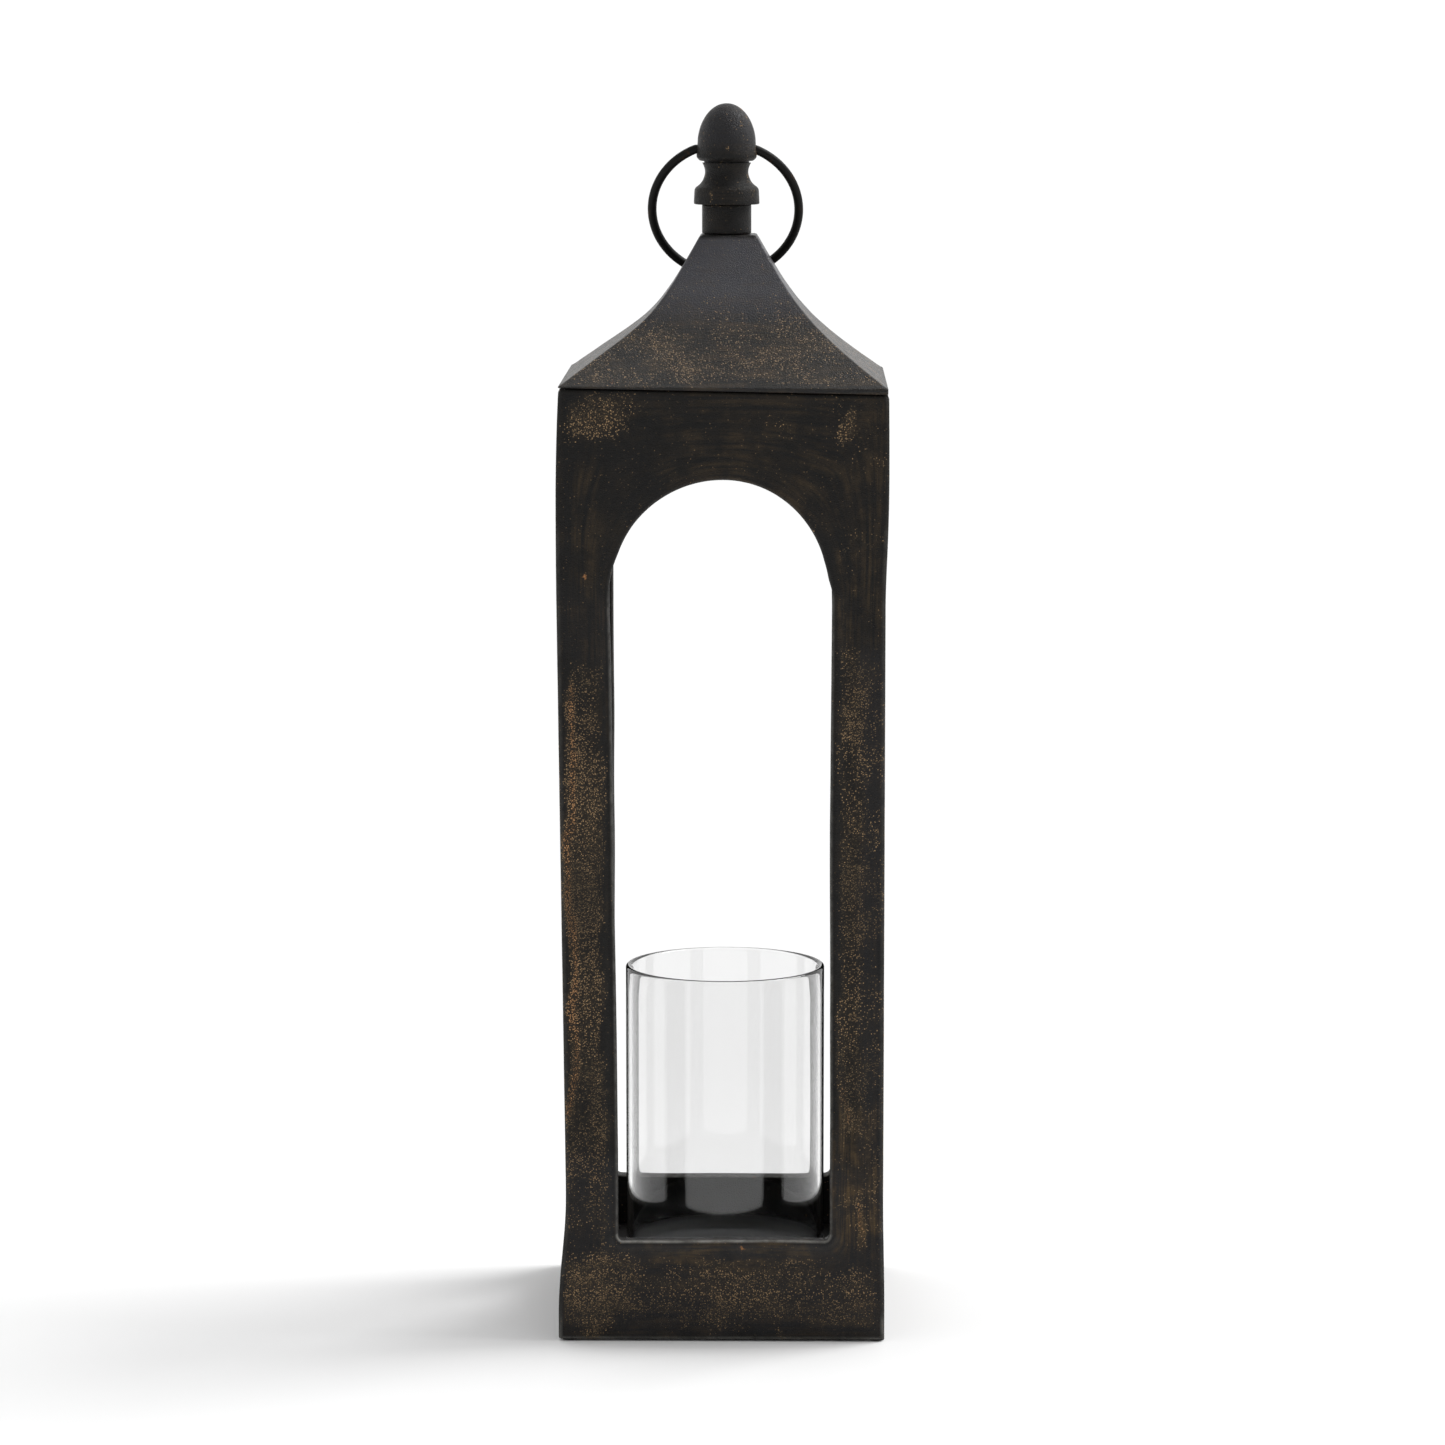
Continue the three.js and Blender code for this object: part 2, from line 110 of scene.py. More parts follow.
def make_object(name, vertices, faces, sharp_degrees=38, marks=None):
    """An object in the frame's metres from millimetre vertices, with hard edges by angle.

    marks holds named values per vertex, which the materials read: numbers, or (x, y, z).
    """
    mesh = bpy.data.meshes.new(name)
    mesh.from_pydata([tuple(c * MM for c in v) for v in vertices], [], faces)
    for mark, values in (marks or {}).items():
        if isinstance(values[0], tuple):
            store = mesh.attributes.new(mark, "FLOAT_VECTOR", "POINT")
            store.data.foreach_set("vector", [c for value in values for c in value])
        else:
            store = mesh.attributes.new(mark, "FLOAT", "POINT")
            store.data.foreach_set("value", values)
    work = bmesh.new()
    work.from_mesh(mesh)
    bmesh.ops.remove_doubles(work, verts=work.verts, dist=1e-7)
    bmesh.ops.recalc_face_normals(work, faces=work.faces)
    limit = math.radians(sharp_degrees)
    for face in work.faces:
        face.smooth = True
    for edge in work.edges:
        edge.smooth = len(edge.link_faces) == 2 and edge.calc_face_angle() < limit
    work.to_mesh(mesh)
    work.free()
    obj = bpy.data.objects.new(name, mesh)
    bpy.context.scene.collection.objects.link(obj)
    return obj


def loft(rings, closed=False):
    """Quads between successive rings of equally many points. An open loft gets end caps."""
    count = len(rings[0])
    vertices = [p for ring in rings for p in ring]
    faces = []
    last = len(rings) if closed else len(rings) - 1
    for k in range(last):
        here = k * count
        there = (k + 1) % len(rings) * count
        for i in range(count):
            j = (i + 1) % count
            faces.append((here + i, here + j, there + j, there + i))
    if not closed:
        faces.append(tuple(range(count))[::-1])
        faces.append(tuple(range((len(rings) - 1) * count, len(rings) * count)))
    return vertices, faces


def circle(radius, z, sides):
    step = 2 * math.pi / sides
    return [(radius * math.cos(i * step), radius * math.sin(i * step), z) for i in range(sides)]


def lathe(profile, sides, closed=False):
    """Revolves (radius, z) points about Z."""
    return loft([circle(max(r, 0.02), z, sides) for r, z in profile], closed)


def move(vertices, matrix):
    return [tuple(matrix @ Vector(v)) for v in vertices]


def move_solid(solid, matrix):
    vertices, faces = solid
    return move(vertices, matrix), faces


def join(*solids):
    """Several (vertices, faces) pairs as one."""
    vertices, faces = [], []
    for more_vertices, more_faces in solids:
        start = len(vertices)
        vertices += more_vertices
        faces += [tuple(i + start for i in face) for face in more_faces]
    return vertices, faces


# ---------------------------------------------------------------- material nodes

class Graph:
    """A material's node tree, with short calls for the nodes that the materials share."""

    def __init__(self, name):
        self.material = bpy.data.materials.new(name)
        self.material.use_nodes = True
        self.tree = self.material.node_tree
        self.shader = self.tree.nodes["Principled BSDF"]
        self.place = self.node("ShaderNodeTexCoord").outputs["Object"]

    def node(self, kind, inputs=(), **settings):
        made = self.tree.nodes.new(kind)
        for key, value in settings.items():
            setattr(made, key, value)
        for key, value in dict(inputs).items():
            self.feed(made.inputs[key], value)
        return made

    def feed(self, socket, value):
        if isinstance(value, bpy.types.NodeSocket):
            self.tree.links.new(value, socket)
        else:
            socket.default_value = value

    def set(self, name, value):
        self.feed(self.shader.inputs[name], value)

    def scaled(self, scale, offset=(0, 0, 0)):
        inputs = {"Vector": self.place, "Scale": scale, "Location": offset}
        return self.node("ShaderNodeMapping", inputs).outputs["Vector"]

    def noise(self, scale, detail=3.0, rough=0.55, vector=None):
        inputs = {"Vector": vector or self.place, "Scale": scale, "Detail": detail, "Roughness": rough}
        return self.node("ShaderNodeTexNoise", inputs).outputs["Fac"]

    def cells(self, scale, vector):
        return self.node("ShaderNodeTexVoronoi", {"Vector": vector, "Scale": scale})

    def maths(self, operation, a, b=0.0, clamp=False):
        made = self.node("ShaderNodeMath", operation=operation, use_clamp=clamp)
        self.feed(made.inputs[0], a)
        self.feed(made.inputs[1], b)
        return made.outputs[0]

    def remap(self, value, low, high, to_low=0.0, to_high=1.0):
        made = self.node("ShaderNodeMapRange", interpolation_type="SMOOTHSTEP")
        for key, number in (("Value", value), ("From Min", low), ("From Max", high),
                            ("To Min", to_low), ("To Max", to_high)):
            self.feed(made.inputs[key], number)
        return made.outputs["Result"]

    def blend(self, factor, a, b):
        made = self.node("ShaderNodeMix", data_type="RGBA")
        self.feed(made.inputs[0], factor)
        self.feed(made.inputs[6], a)
        self.feed(made.inputs[7], b)
        return made.outputs[2]

    def attribute(self, name, output="Fac"):
        return self.node("ShaderNodeAttribute", attribute_name=name).outputs[output]

    def warped(self, scale, amount):
        """The place, pushed about by a fine noise, for ragged cells."""
        swirl = self.node("ShaderNodeTexNoise", {"Vector": self.place, "Scale": scale, "Detail": 2.0})
        push = self.node("ShaderNodeVectorMath", {"Scale": amount}, operation="SCALE")
        self.feed(push.inputs[0], swirl.outputs["Color"])
        moved = self.node("ShaderNodeVectorMath", operation="ADD")
        self.feed(moved.inputs[0], self.place)
        self.feed(moved.inputs[1], push.outputs[0])
        return moved.outputs[0]

    def bump(self, height, strength, distance, before=None):
        inputs = {"Height": height, "Strength": strength, "Distance": distance}
        if before:
            inputs["Normal"] = before
        return self.node("ShaderNodeBump", inputs).outputs["Normal"]


def rgb(red, green, blue):
    """A linear colour from the 0 to 255 values that a screen shows."""
    channels = [c / 255 for c in (red, green, blue)]
    return tuple(c / 12.92 if c <= 0.04045 else ((c + 0.055) / 1.055) ** 2.4 for c in channels) + (1,)


def rubbed_black(name, paint, strokes="across", gloss=0.5, specular=0.18, coat=0.0):
    """Black paint on pebbly cast metal, brushed brown and rubbed through to copper speckle.

    The mesh says where: "rub" is how much copper shows, "brush" the brown strokes, "edge" the
    worn arrises, partly a painted highlight, "pale" where the paint is painted paler, which on the
    roof and acorn is painted top light, and "grain" the way the strokes run.
    """
    g = Graph(name)
    rub = g.attribute("rub")

    pebbles = g.cells(1 / (0.68 * MM), vector=g.warped(1 / (0.8 * MM), 0.6 * MM))
    dome = g.remap(pebbles.outputs["Distance"], 0.12, 0.7, 1.0, 0.0)
    chance = g.node("ShaderNodeSeparateColor", {"Color": pebbles.outputs["Color"]})
    patches = g.maths("MULTIPLY", g.maths("SUBTRACT", g.noise(1 / (24 * MM), 6.0, 0.66), 0.5), 1.25)
    coverage = g.maths("MAXIMUM", g.remap(g.maths("ADD", rub, patches), 0.04, 0.86), 0.03)
    picked = g.remap(g.maths("SUBTRACT", coverage, chance.outputs["Red"]), -0.04, 0.1)
    ragged = g.maths("MULTIPLY", g.maths("SUBTRACT", g.noise(1 / (0.5 * MM), 2.0, 0.6), 0.5), 0.6)
    speckle = g.maths("MULTIPLY", picked, g.remap(g.maths("ADD", dome, ragged), 0.22, 0.6), clamp=True)

    chips = g.cells(1 / (15 * MM), vector=g.scaled((1, 1, 0.8), (0.31, 0.17, 0.05)))
    chip_pick = g.node("ShaderNodeSeparateColor", {"Color": chips.outputs["Color"]}).outputs["Blue"]
    chip_edge = g.maths("MULTIPLY", g.maths("SUBTRACT", g.noise(1 / (1.3 * MM), 3.0, 0.6), 0.5), 0.3)
    chip = g.maths("ADD", g.maths("SUBTRACT", 0.08, chips.outputs["Distance"]), chip_edge)
    chip = g.maths("MULTIPLY", g.remap(chip, 0.0, 0.08), g.remap(chip_pick, 0.8, 0.84))

    if strokes == "grain":
        inputs = {"Vector": g.attribute("grain", "Vector"), "Scale": (22, 700, 90)}
        stretched = g.node("ShaderNodeMapping", inputs).outputs["Vector"]
    else:
        stretched = g.scaled((22, 22, 700))
    streaks = g.noise(1.0, 5.0, 0.7, vector=stretched)
    blotch = g.remap(g.noise(1 / (13 * MM), 5.0, 0.65), 0.4, 0.64)
    brush = g.maths("MULTIPLY", g.maths("ADD", g.attribute("brush"), 0.1), g.maths("ADD", blotch, 0.25))
    brown = g.maths("MULTIPLY", g.remap(streaks, 0.36, 0.66), brush, clamp=True)
    mottle = g.noise(1 / (5 * MM), 4.0, 0.65)

    base = g.blend(g.remap(mottle, 0.3, 0.7), rgb(*[c - 4 for c in paint]), rgb(*[c + 4 for c in paint]))
    # Painted top light: where "pale" is set the paint turns a paler bluish grey, the sheen of the roof's
    # upper slopes and the acorn's top; on the panels it pales a few listed zones.
    base = g.blend(g.attribute("pale"), base, rgb(66, 66, 71))
    base = g.blend(brown, base, rgb(84, 68, 46))
    base = g.blend(g.maths("MULTIPLY", coverage, 0.28), base, rgb(72, 60, 44))
    # Light grey on the arrises: partly worn paint, partly a painted highlight where the edges catch the
    # light, brightest on the sill.
    uneven = g.remap(g.noise(1 / (6 * MM), 3.0, 0.6), 0.3, 0.7, 0.4, 1.0)
    worn = g.maths("MULTIPLY", g.attribute("edge"), uneven)
    base = g.blend(g.maths("MULTIPLY", worn, 0.85), base, rgb(168, 166, 160))
    shine = g.maths("MULTIPLY", chance.outputs["Green"], chance.outputs["Green"])
    tan = g.blend(shine, rgb(74, 66, 52), rgb(180, 148, 110))
    copper = g.blend(shine, rgb(98, 74, 52), rgb(222, 166, 114))
    copper = g.blend(g.remap(rub, 0.55, 0.95), tan, copper)
    colour = g.blend(g.maths("MULTIPLY", speckle, 0.92), base, copper)
    colour = g.blend(g.maths("MULTIPLY", chip, 0.85), colour, rgb(170, 120, 78))
    g.set("Base Color", colour)

    metal = g.maths("MAXIMUM", speckle, chip)
    g.set("Metallic", g.maths("MULTIPLY", metal, 0.25))
    g.set("Roughness", g.maths("SUBTRACT", g.remap(mottle, 0.3, 0.7, gloss - 0.06, gloss + 0.08),
                               g.maths("MULTIPLY", worn, 0.14)))
    g.set("Specular IOR Level", specular)
    g.set("Coat Weight", coat)
    g.set("Coat Roughness", 0.24)

    grain = g.bump(dome, 0.6, 0.4 * MM)
    casting = g.bump(g.noise(1 / (9 * MM), 3.0, 0.5), 0.3, 0.8 * MM, before=grain)
    surface = g.bump(streaks, 0.08, 0.3 * MM, before=casting)
    g.set("Normal", surface)
    g.set("Coat Normal", surface)
    return g.material


def painted_wire(name):
    """Satin black paint on drawn wire, worn brown where it rubs."""
    g = Graph(name)
    wear = g.remap(g.noise(1 / (9 * MM), 4.0, 0.65), 0.56, 0.72)
    fine = g.noise(1 / (0.9 * MM), 3.0, 0.6)
    base = g.blend(fine, rgb(9, 9, 8), rgb(18, 17, 15))
    g.set("Base Color", g.blend(g.maths("MULTIPLY", wear, 0.55), base, rgb(74, 50, 32)))
    g.set("Metallic", g.maths("MULTIPLY", wear, 0.3))
    g.set("Roughness", g.remap(fine, 0.3, 0.7, 0.42, 0.6))
    g.set("Specular IOR Level", 0.14)
    g.set("Normal", g.bump(fine, 0.25, 0.12 * MM))
    return g.material


def sheet_paint(name):
    """Satin black powder coat on sheet metal, with orange-peel grain and dust."""
    g = Graph(name)
    peel = g.noise(1 / (1.4 * MM), 2.0, 0.5)
    dust = g.remap(g.noise(1 / (18 * MM), 5.0, 0.7), 0.5, 0.75)
    base = g.blend(peel, rgb(17, 16, 16), rgb(26, 24, 23))
    g.set("Base Color", g.blend(g.maths("MULTIPLY", dust, 0.35), base, rgb(60, 52, 44)))
    g.set("Roughness", g.remap(dust, 0.0, 1.0, 0.48, 0.7))
    g.set("Specular IOR Level", 0.3)
    g.set("Normal", g.bump(peel, 0.3, 0.15 * MM))
    return g.material


def plated_steel(name, light, dark):
    """Plated fastener steel: fine turning marks, dull patches and a soft sheen."""
    g = Graph(name)
    turning = g.noise(1.0, 3.0, 0.6, vector=g.scaled((300, 300, 5200)))
    patches = g.noise(1 / (3 * MM), 4.0, 0.6)
    g.set("Base Color", g.blend(g.remap(patches, 0.35, 0.65), rgb(*dark), rgb(*light)))
    g.set("Metallic", 1.0)
    g.set("Roughness", g.remap(patches, 0.3, 0.7, 0.28, 0.5))
    g.set("Normal", g.bump(turning, 0.2, 0.05 * MM))
    return g.material


def moulded_rubber(name):
    """Matt black rubber with a fine moulded grain."""
    g = Graph(name)
    grain = g.noise(1 / (0.5 * MM), 3.0, 0.6)
    g.set("Base Color", g.blend(grain, rgb(20, 20, 20), rgb(36, 35, 34)))
    g.set("Roughness", g.remap(grain, 0.3, 0.7, 0.75, 0.95))
    g.set("Normal", g.bump(grain, 0.35, 0.1 * MM))
    return g.material


FOOT_SHADE_Z = 34.0     # the glass foot is painted darker below this height, as shade inside the base
FOOT_CLEAR_Z = 38.0     # and clear above this one


def hurricane_glass(name):
    """Drawn glass: faint waviness, a few soft smudges, and a frosted foot painted darker as shade."""
    g = Graph(name)
    waves = g.noise(1.0, 2.0, 0.4, vector=g.scaled((26, 26, 5)))
    smudge = g.remap(g.noise(1 / (14 * MM), 4.0, 0.65), 0.58, 0.8, 0.0, 0.05)
    clear = g.blend(smudge, rgb(243, 243, 243), rgb(238, 238, 238))
    place_z = g.node("ShaderNodeSeparateXYZ", {"Vector": g.place}).outputs["Z"]
    uneven_z = g.maths("ADD", place_z, g.maths("MULTIPLY", smudge, 0.02))
    foot = g.remap(uneven_z, FOOT_SHADE_Z * MM, FOOT_CLEAR_Z * MM, 1.0, 0.0)
    # Painted shade: the frosted foot is tinted dark grey, as the shade down inside the base.
    g.set("Base Color", g.blend(foot, clear, rgb(132, 135, 136)))
    g.set("Roughness", g.maths("ADD", smudge, g.maths("MULTIPLY", foot, 0.45)))
    g.set("Transmission Weight", 1.0)
    g.set("IOR", 1.5)
    g.set("Normal", g.bump(waves, 0.12, 0.6 * MM))
    return g.material


# ---------------------------------------------------------------- the cast body's shape

SIDES = ("front", "right", "rear", "left")
EAVE = 81.0
EAVE_Z = 477.5
PANEL_TOP = EAVE_Z - 0.3
PANEL_BOTTOM = 1.0
INNER_FACE = 71.8
SEAM = 0.06             # half the seam left open between neighbouring panels


def face_profile(foot, waist, shoulder, head, head_z, eave):
    """A face's distance from the axis as (distance, height) points: flared foot, full head."""
    return (
        [(foot, PANEL_BOTTOM)]
        + bezier([(foot, 12), (foot, 36), (waist, 52), (waist, 72)], 16)
        + [(waist, 80), (shoulder, 372)]
        + bezier([(shoulder, 372), (shoulder + 0.15, 388), (head, 404), (head, head_z)], 10)[1:]
        + bezier([(head, head_z), (head, 448), (eave, PANEL_TOP)], 10)[1:]
    )


# The four castings are not quite alike: each was fettled by hand.
PROFILES = {
    "front": face_profile(82.5, 78.8, 80.6, 81.65, 421, 81.0),
    "right": face_profile(80.9, 80.15, 80.15, 81.75, 436, 81.5),
    "rear": face_profile(82.5, 79.0, 80.5, 81.6, 424, 81.0),
    "left": face_profile(82.5, 78.85, 82.3, 82.45, 415, 80.9),
}


def reach(side, z):
    """How far a face stands from the axis at a height."""
    profile = PROFILES[side]
    for (x0, z0), (x1, z1) in zip(profile, profile[1:]):
        if z <= z1:
            return mix(x0, x1, max(0.0, z - z0) / (z1 - z0))
    return profile[-1][0]


def neighbours(side):
    """The faces on a face's own left and right, seen from outside."""
    k = SIDES.index(side)
    return SIDES[k - 1], SIDES[(k + 1) % 4]


def eave_line(x):
    """How far the hand-fitted eave lies above (+) its drawn height: it runs down to the right."""
    return -1.1 - 1.6 * x / EAVE


# ---------------------------------------------------------------- arch panels

ARCH = 54.5
REAR_ARCH = 57.0
CROWN_Z = 433.0
SILL_Z = 51.0
SILL_CORNER = 3.5
SILL_BAND_Z = 54.0      # below this height the opening's outline belongs to the sill
UPRIGHT_TOP_Z = 360.0   # from there up to this height it belongs to the two uprights
ARRIS = 1.7             # rounding of the opening's outer edge
INNER_ARRIS = 1.2
CORNER_ROUND = 1.8      # rounding of the lantern's upright corners and of the seam edges
PAINTED_DEPTH = 3.5     # the rubbed face starts this far outside the inner face
EAVE_BLEND = (440, 470)  # heights between which a panel starts to follow the eave line

# How much wider (+) or narrower (-) than drawn an opening was filed, by height, on either side.
FILED = {
    "front": (
        ((51, -2.0), (97, -1.9), (340, 1.0), (366, 1.6), (381, 1.7), (388, 1.0), (396, 0.2),
         (411, 0.2), (433, -0.2)),
        ((51, -1.1), (180, -1.2), (260, -1.6), (320, -1.1), (370, -0.8), (378.5, -1.0), (384, -2.3),
         (393, -2.7), (403, -2.3), (413, -1.8), (423, -1.1), (433, -0.2)),
    ),
}
REAR_SHIFT = 2.0        # the rear opening stands off centre, to that face's own right

# Where copper shows: (x from, x to, z from, z to, how much) on a face seen from outside.
FRONT_RUB = (
    (-78.5, -73, 112, 336, 0.9), (-77.5, -59, 118, 342, 0.52), (57, 71, 106, 345, 0.42),
    (71, 80, 102, 345, 0.24), (-80, -54, 8, 42, 0.58), (-58, 42, 12, 41, 0.47), (38, 79, 8, 38, 0.44),
    (-76, -48, 452, 472, 0.6), (-70, -62, 450, 460, 0.58), (-50, -20, 458, 472, 0.18),
    (57, 62, 457, 469, 0.95), (64, 80, 440, 472, 0.2), (-80, -58, 55, 118, 0.38), (57, 80, 55, 95, 0.24),
    (57, 61, 104, 132, 0.95), (65, 70, 44, 72, 0.85), (-80, 80, 345, 476, 0.02),
    (-20, -17, 7, 11, 1.0), (25, 31, 1, 4, 1.0), (-70, -62, 1, 4, 0.95),
)
OTHER_RUB = (
    (-81, -58, 70, 330, 0.38), (58, 81, 80, 352, 0.46), (-70, 10, 8, 44, 0.36), (20, 76, 8, 44, 0.4),
    (-60, -20, 448, 470, 0.36), (40, 76, 440, 470, 0.3), (-80, 80, 345, 476, 0.05),
)
# Where the paint is greyed paler, in the same way.
PALER_ZONES = ((-81, 81, 4, 92, 0.14), (68, 80, 92, 350, 0.13), (-80, -57, 342, 380, 0.05))
# Where brown was dry-brushed, in the same way.
FRONT_BRUSH = (
    (55, 78, 44, 118, 0.85), (-38, 42, 38, 50, 0.55), (-80, 80, 2, 40, 0.12), (-30, 80, 415, 474, 0.2),
    (57, 76, 350, 420, 0.3), (-78, -60, 350, 440, 0.2),
)
OTHER_BRUSH = ((-78, -58, 60, 140, 0.4), (-50, 50, 36, 50, 0.45), (-80, 80, 2, 40, 0.2))


def zone_value(zones, x, z):
    """The strongest of the zones at a place. Their edges are soft and ragged."""
    ragged = noise.noise_vector(Vector((x / 15, z / 22, 3.1)))
    x, z = x + 4 * ragged.x, z + 7 * ragged.y
    strongest = 0.0
    for x0, x1, z0, z1, amount in zones:
        within = smooth_step(x0 - 2, x0 + 2, x) * (1 - smooth_step(x1 - 2, x1 + 2, x))
        within *= smooth_step(z0 - 7, z0 + 5, z) * (1 - smooth_step(z1 - 5, z1 + 7, z))
        strongest = max(strongest, amount * within)
    return strongest


def filed(table, z):
    """A straight-line reading of a (height, amount) table."""
    for (z0, a0), (z1, a1) in zip(table, table[1:]):
        if z <= z1:
            return mix(a0, a1, max(0.0, z - z0) / (z1 - z0))
    return table[-1][1]


def opening_loop(half, shift):
    """The arch opening as (x, z, normal x, normal z), anticlockwise from the sill's left end.

    Normals point away from the opening, into the metal.
    """
    flat = half - SILL_CORNER
    spring = CROWN_Z - half
    loop = [(x, SILL_Z, 0.0, -1.0) for x in spread(-flat, flat, 30)]

    def corner(start, centre_x):
        for angle in spread(start, start + 90, 5):
            a = math.radians(angle)
            loop.append((centre_x + SILL_CORNER * math.cos(a), SILL_Z + SILL_CORNER * (1 + math.sin(a)),
                         math.cos(a), math.sin(a)))

    corner(-90, flat)
    loop += [(half, z, 1.0, 0.0) for z in spread(SILL_Z + SILL_CORNER, spring, 84)]
    for angle in spread(0, 180, 72):
        a = math.radians(angle)
        loop.append((half * math.cos(a), spring + half * math.sin(a), math.cos(a), math.sin(a)))
    loop += [(-half, z, -1.0, 0.0) for z in spread(spring, SILL_Z + SILL_CORNER, 84)]
    corner(180, -flat)
    return [(x + shift, z, nx, nz) for x, z, nx, nz in loop]


def boundary_loop():
    """The panel's outline as (side, z) pairs that match opening_loop point for point.

    side runs from -1 to 1 across the panel.
    """
    low, high = PANEL_BOTTOM, PANEL_TOP
    foot, head = low + 15, 412
    loop = [(s, low) for s in spread(-0.9, 0.9, 30)]
    loop += [(0.9, low), (0.95, low), (1.0, low), (1.0, low + 5), (1.0, low + 10)]
    loop += [(1.0, z) for z in spread(foot, head, 84)]
    loop += [(1.0, z) for z in spread(head, high, 18)]
    loop += [(s, high) for s in spread(1.0, -1.0, 36)]
    loop += [(-1.0, z) for z in spread(high, head, 18)]
    loop += [(-1.0, z) for z in spread(head, foot, 84)]
    loop += [(-1.0, foot), (-1.0, low + 10), (-1.0, low + 5), (-1.0, low), (-0.95, low)]
    return loop


def rounded_back(distance, radius):
    """How far a surface has fallen back at a distance inside a rounded edge's tangent line."""
    if distance >= radius:
        return 0.0
    return radius - math.sqrt(max(0.0, radius * radius - (radius - distance) ** 2))


def distances_from_crown(opening):
    """For each opening point, how far along the outline it lies from the crown, either way."""
    crown = max(range(len(opening)), key=lambda i: opening[i][1])
    steps = [math.dist(a[:2], b[:2]) for a, b in zip(opening, opening[1:] + opening[:1])]
    total = sum(steps)
    found = []
    for i in range(len(opening)):
        way = sum(steps[crown:i]) if i >= crown else sum(steps[i:crown])
        found.append(min(way, total - way))
    return found


def opening_wear_and_highlight(z):
    """How bright the opening's edge is painted at a height, partly wear and partly a painted highlight:
    most on the sill, where it is the painted highlight of the sill's arris, least in the arch.
    """
    if z < SILL_BAND_Z:
        return 0.92
    return 0.3 if z < CROWN_Z - ARCH else 0.06


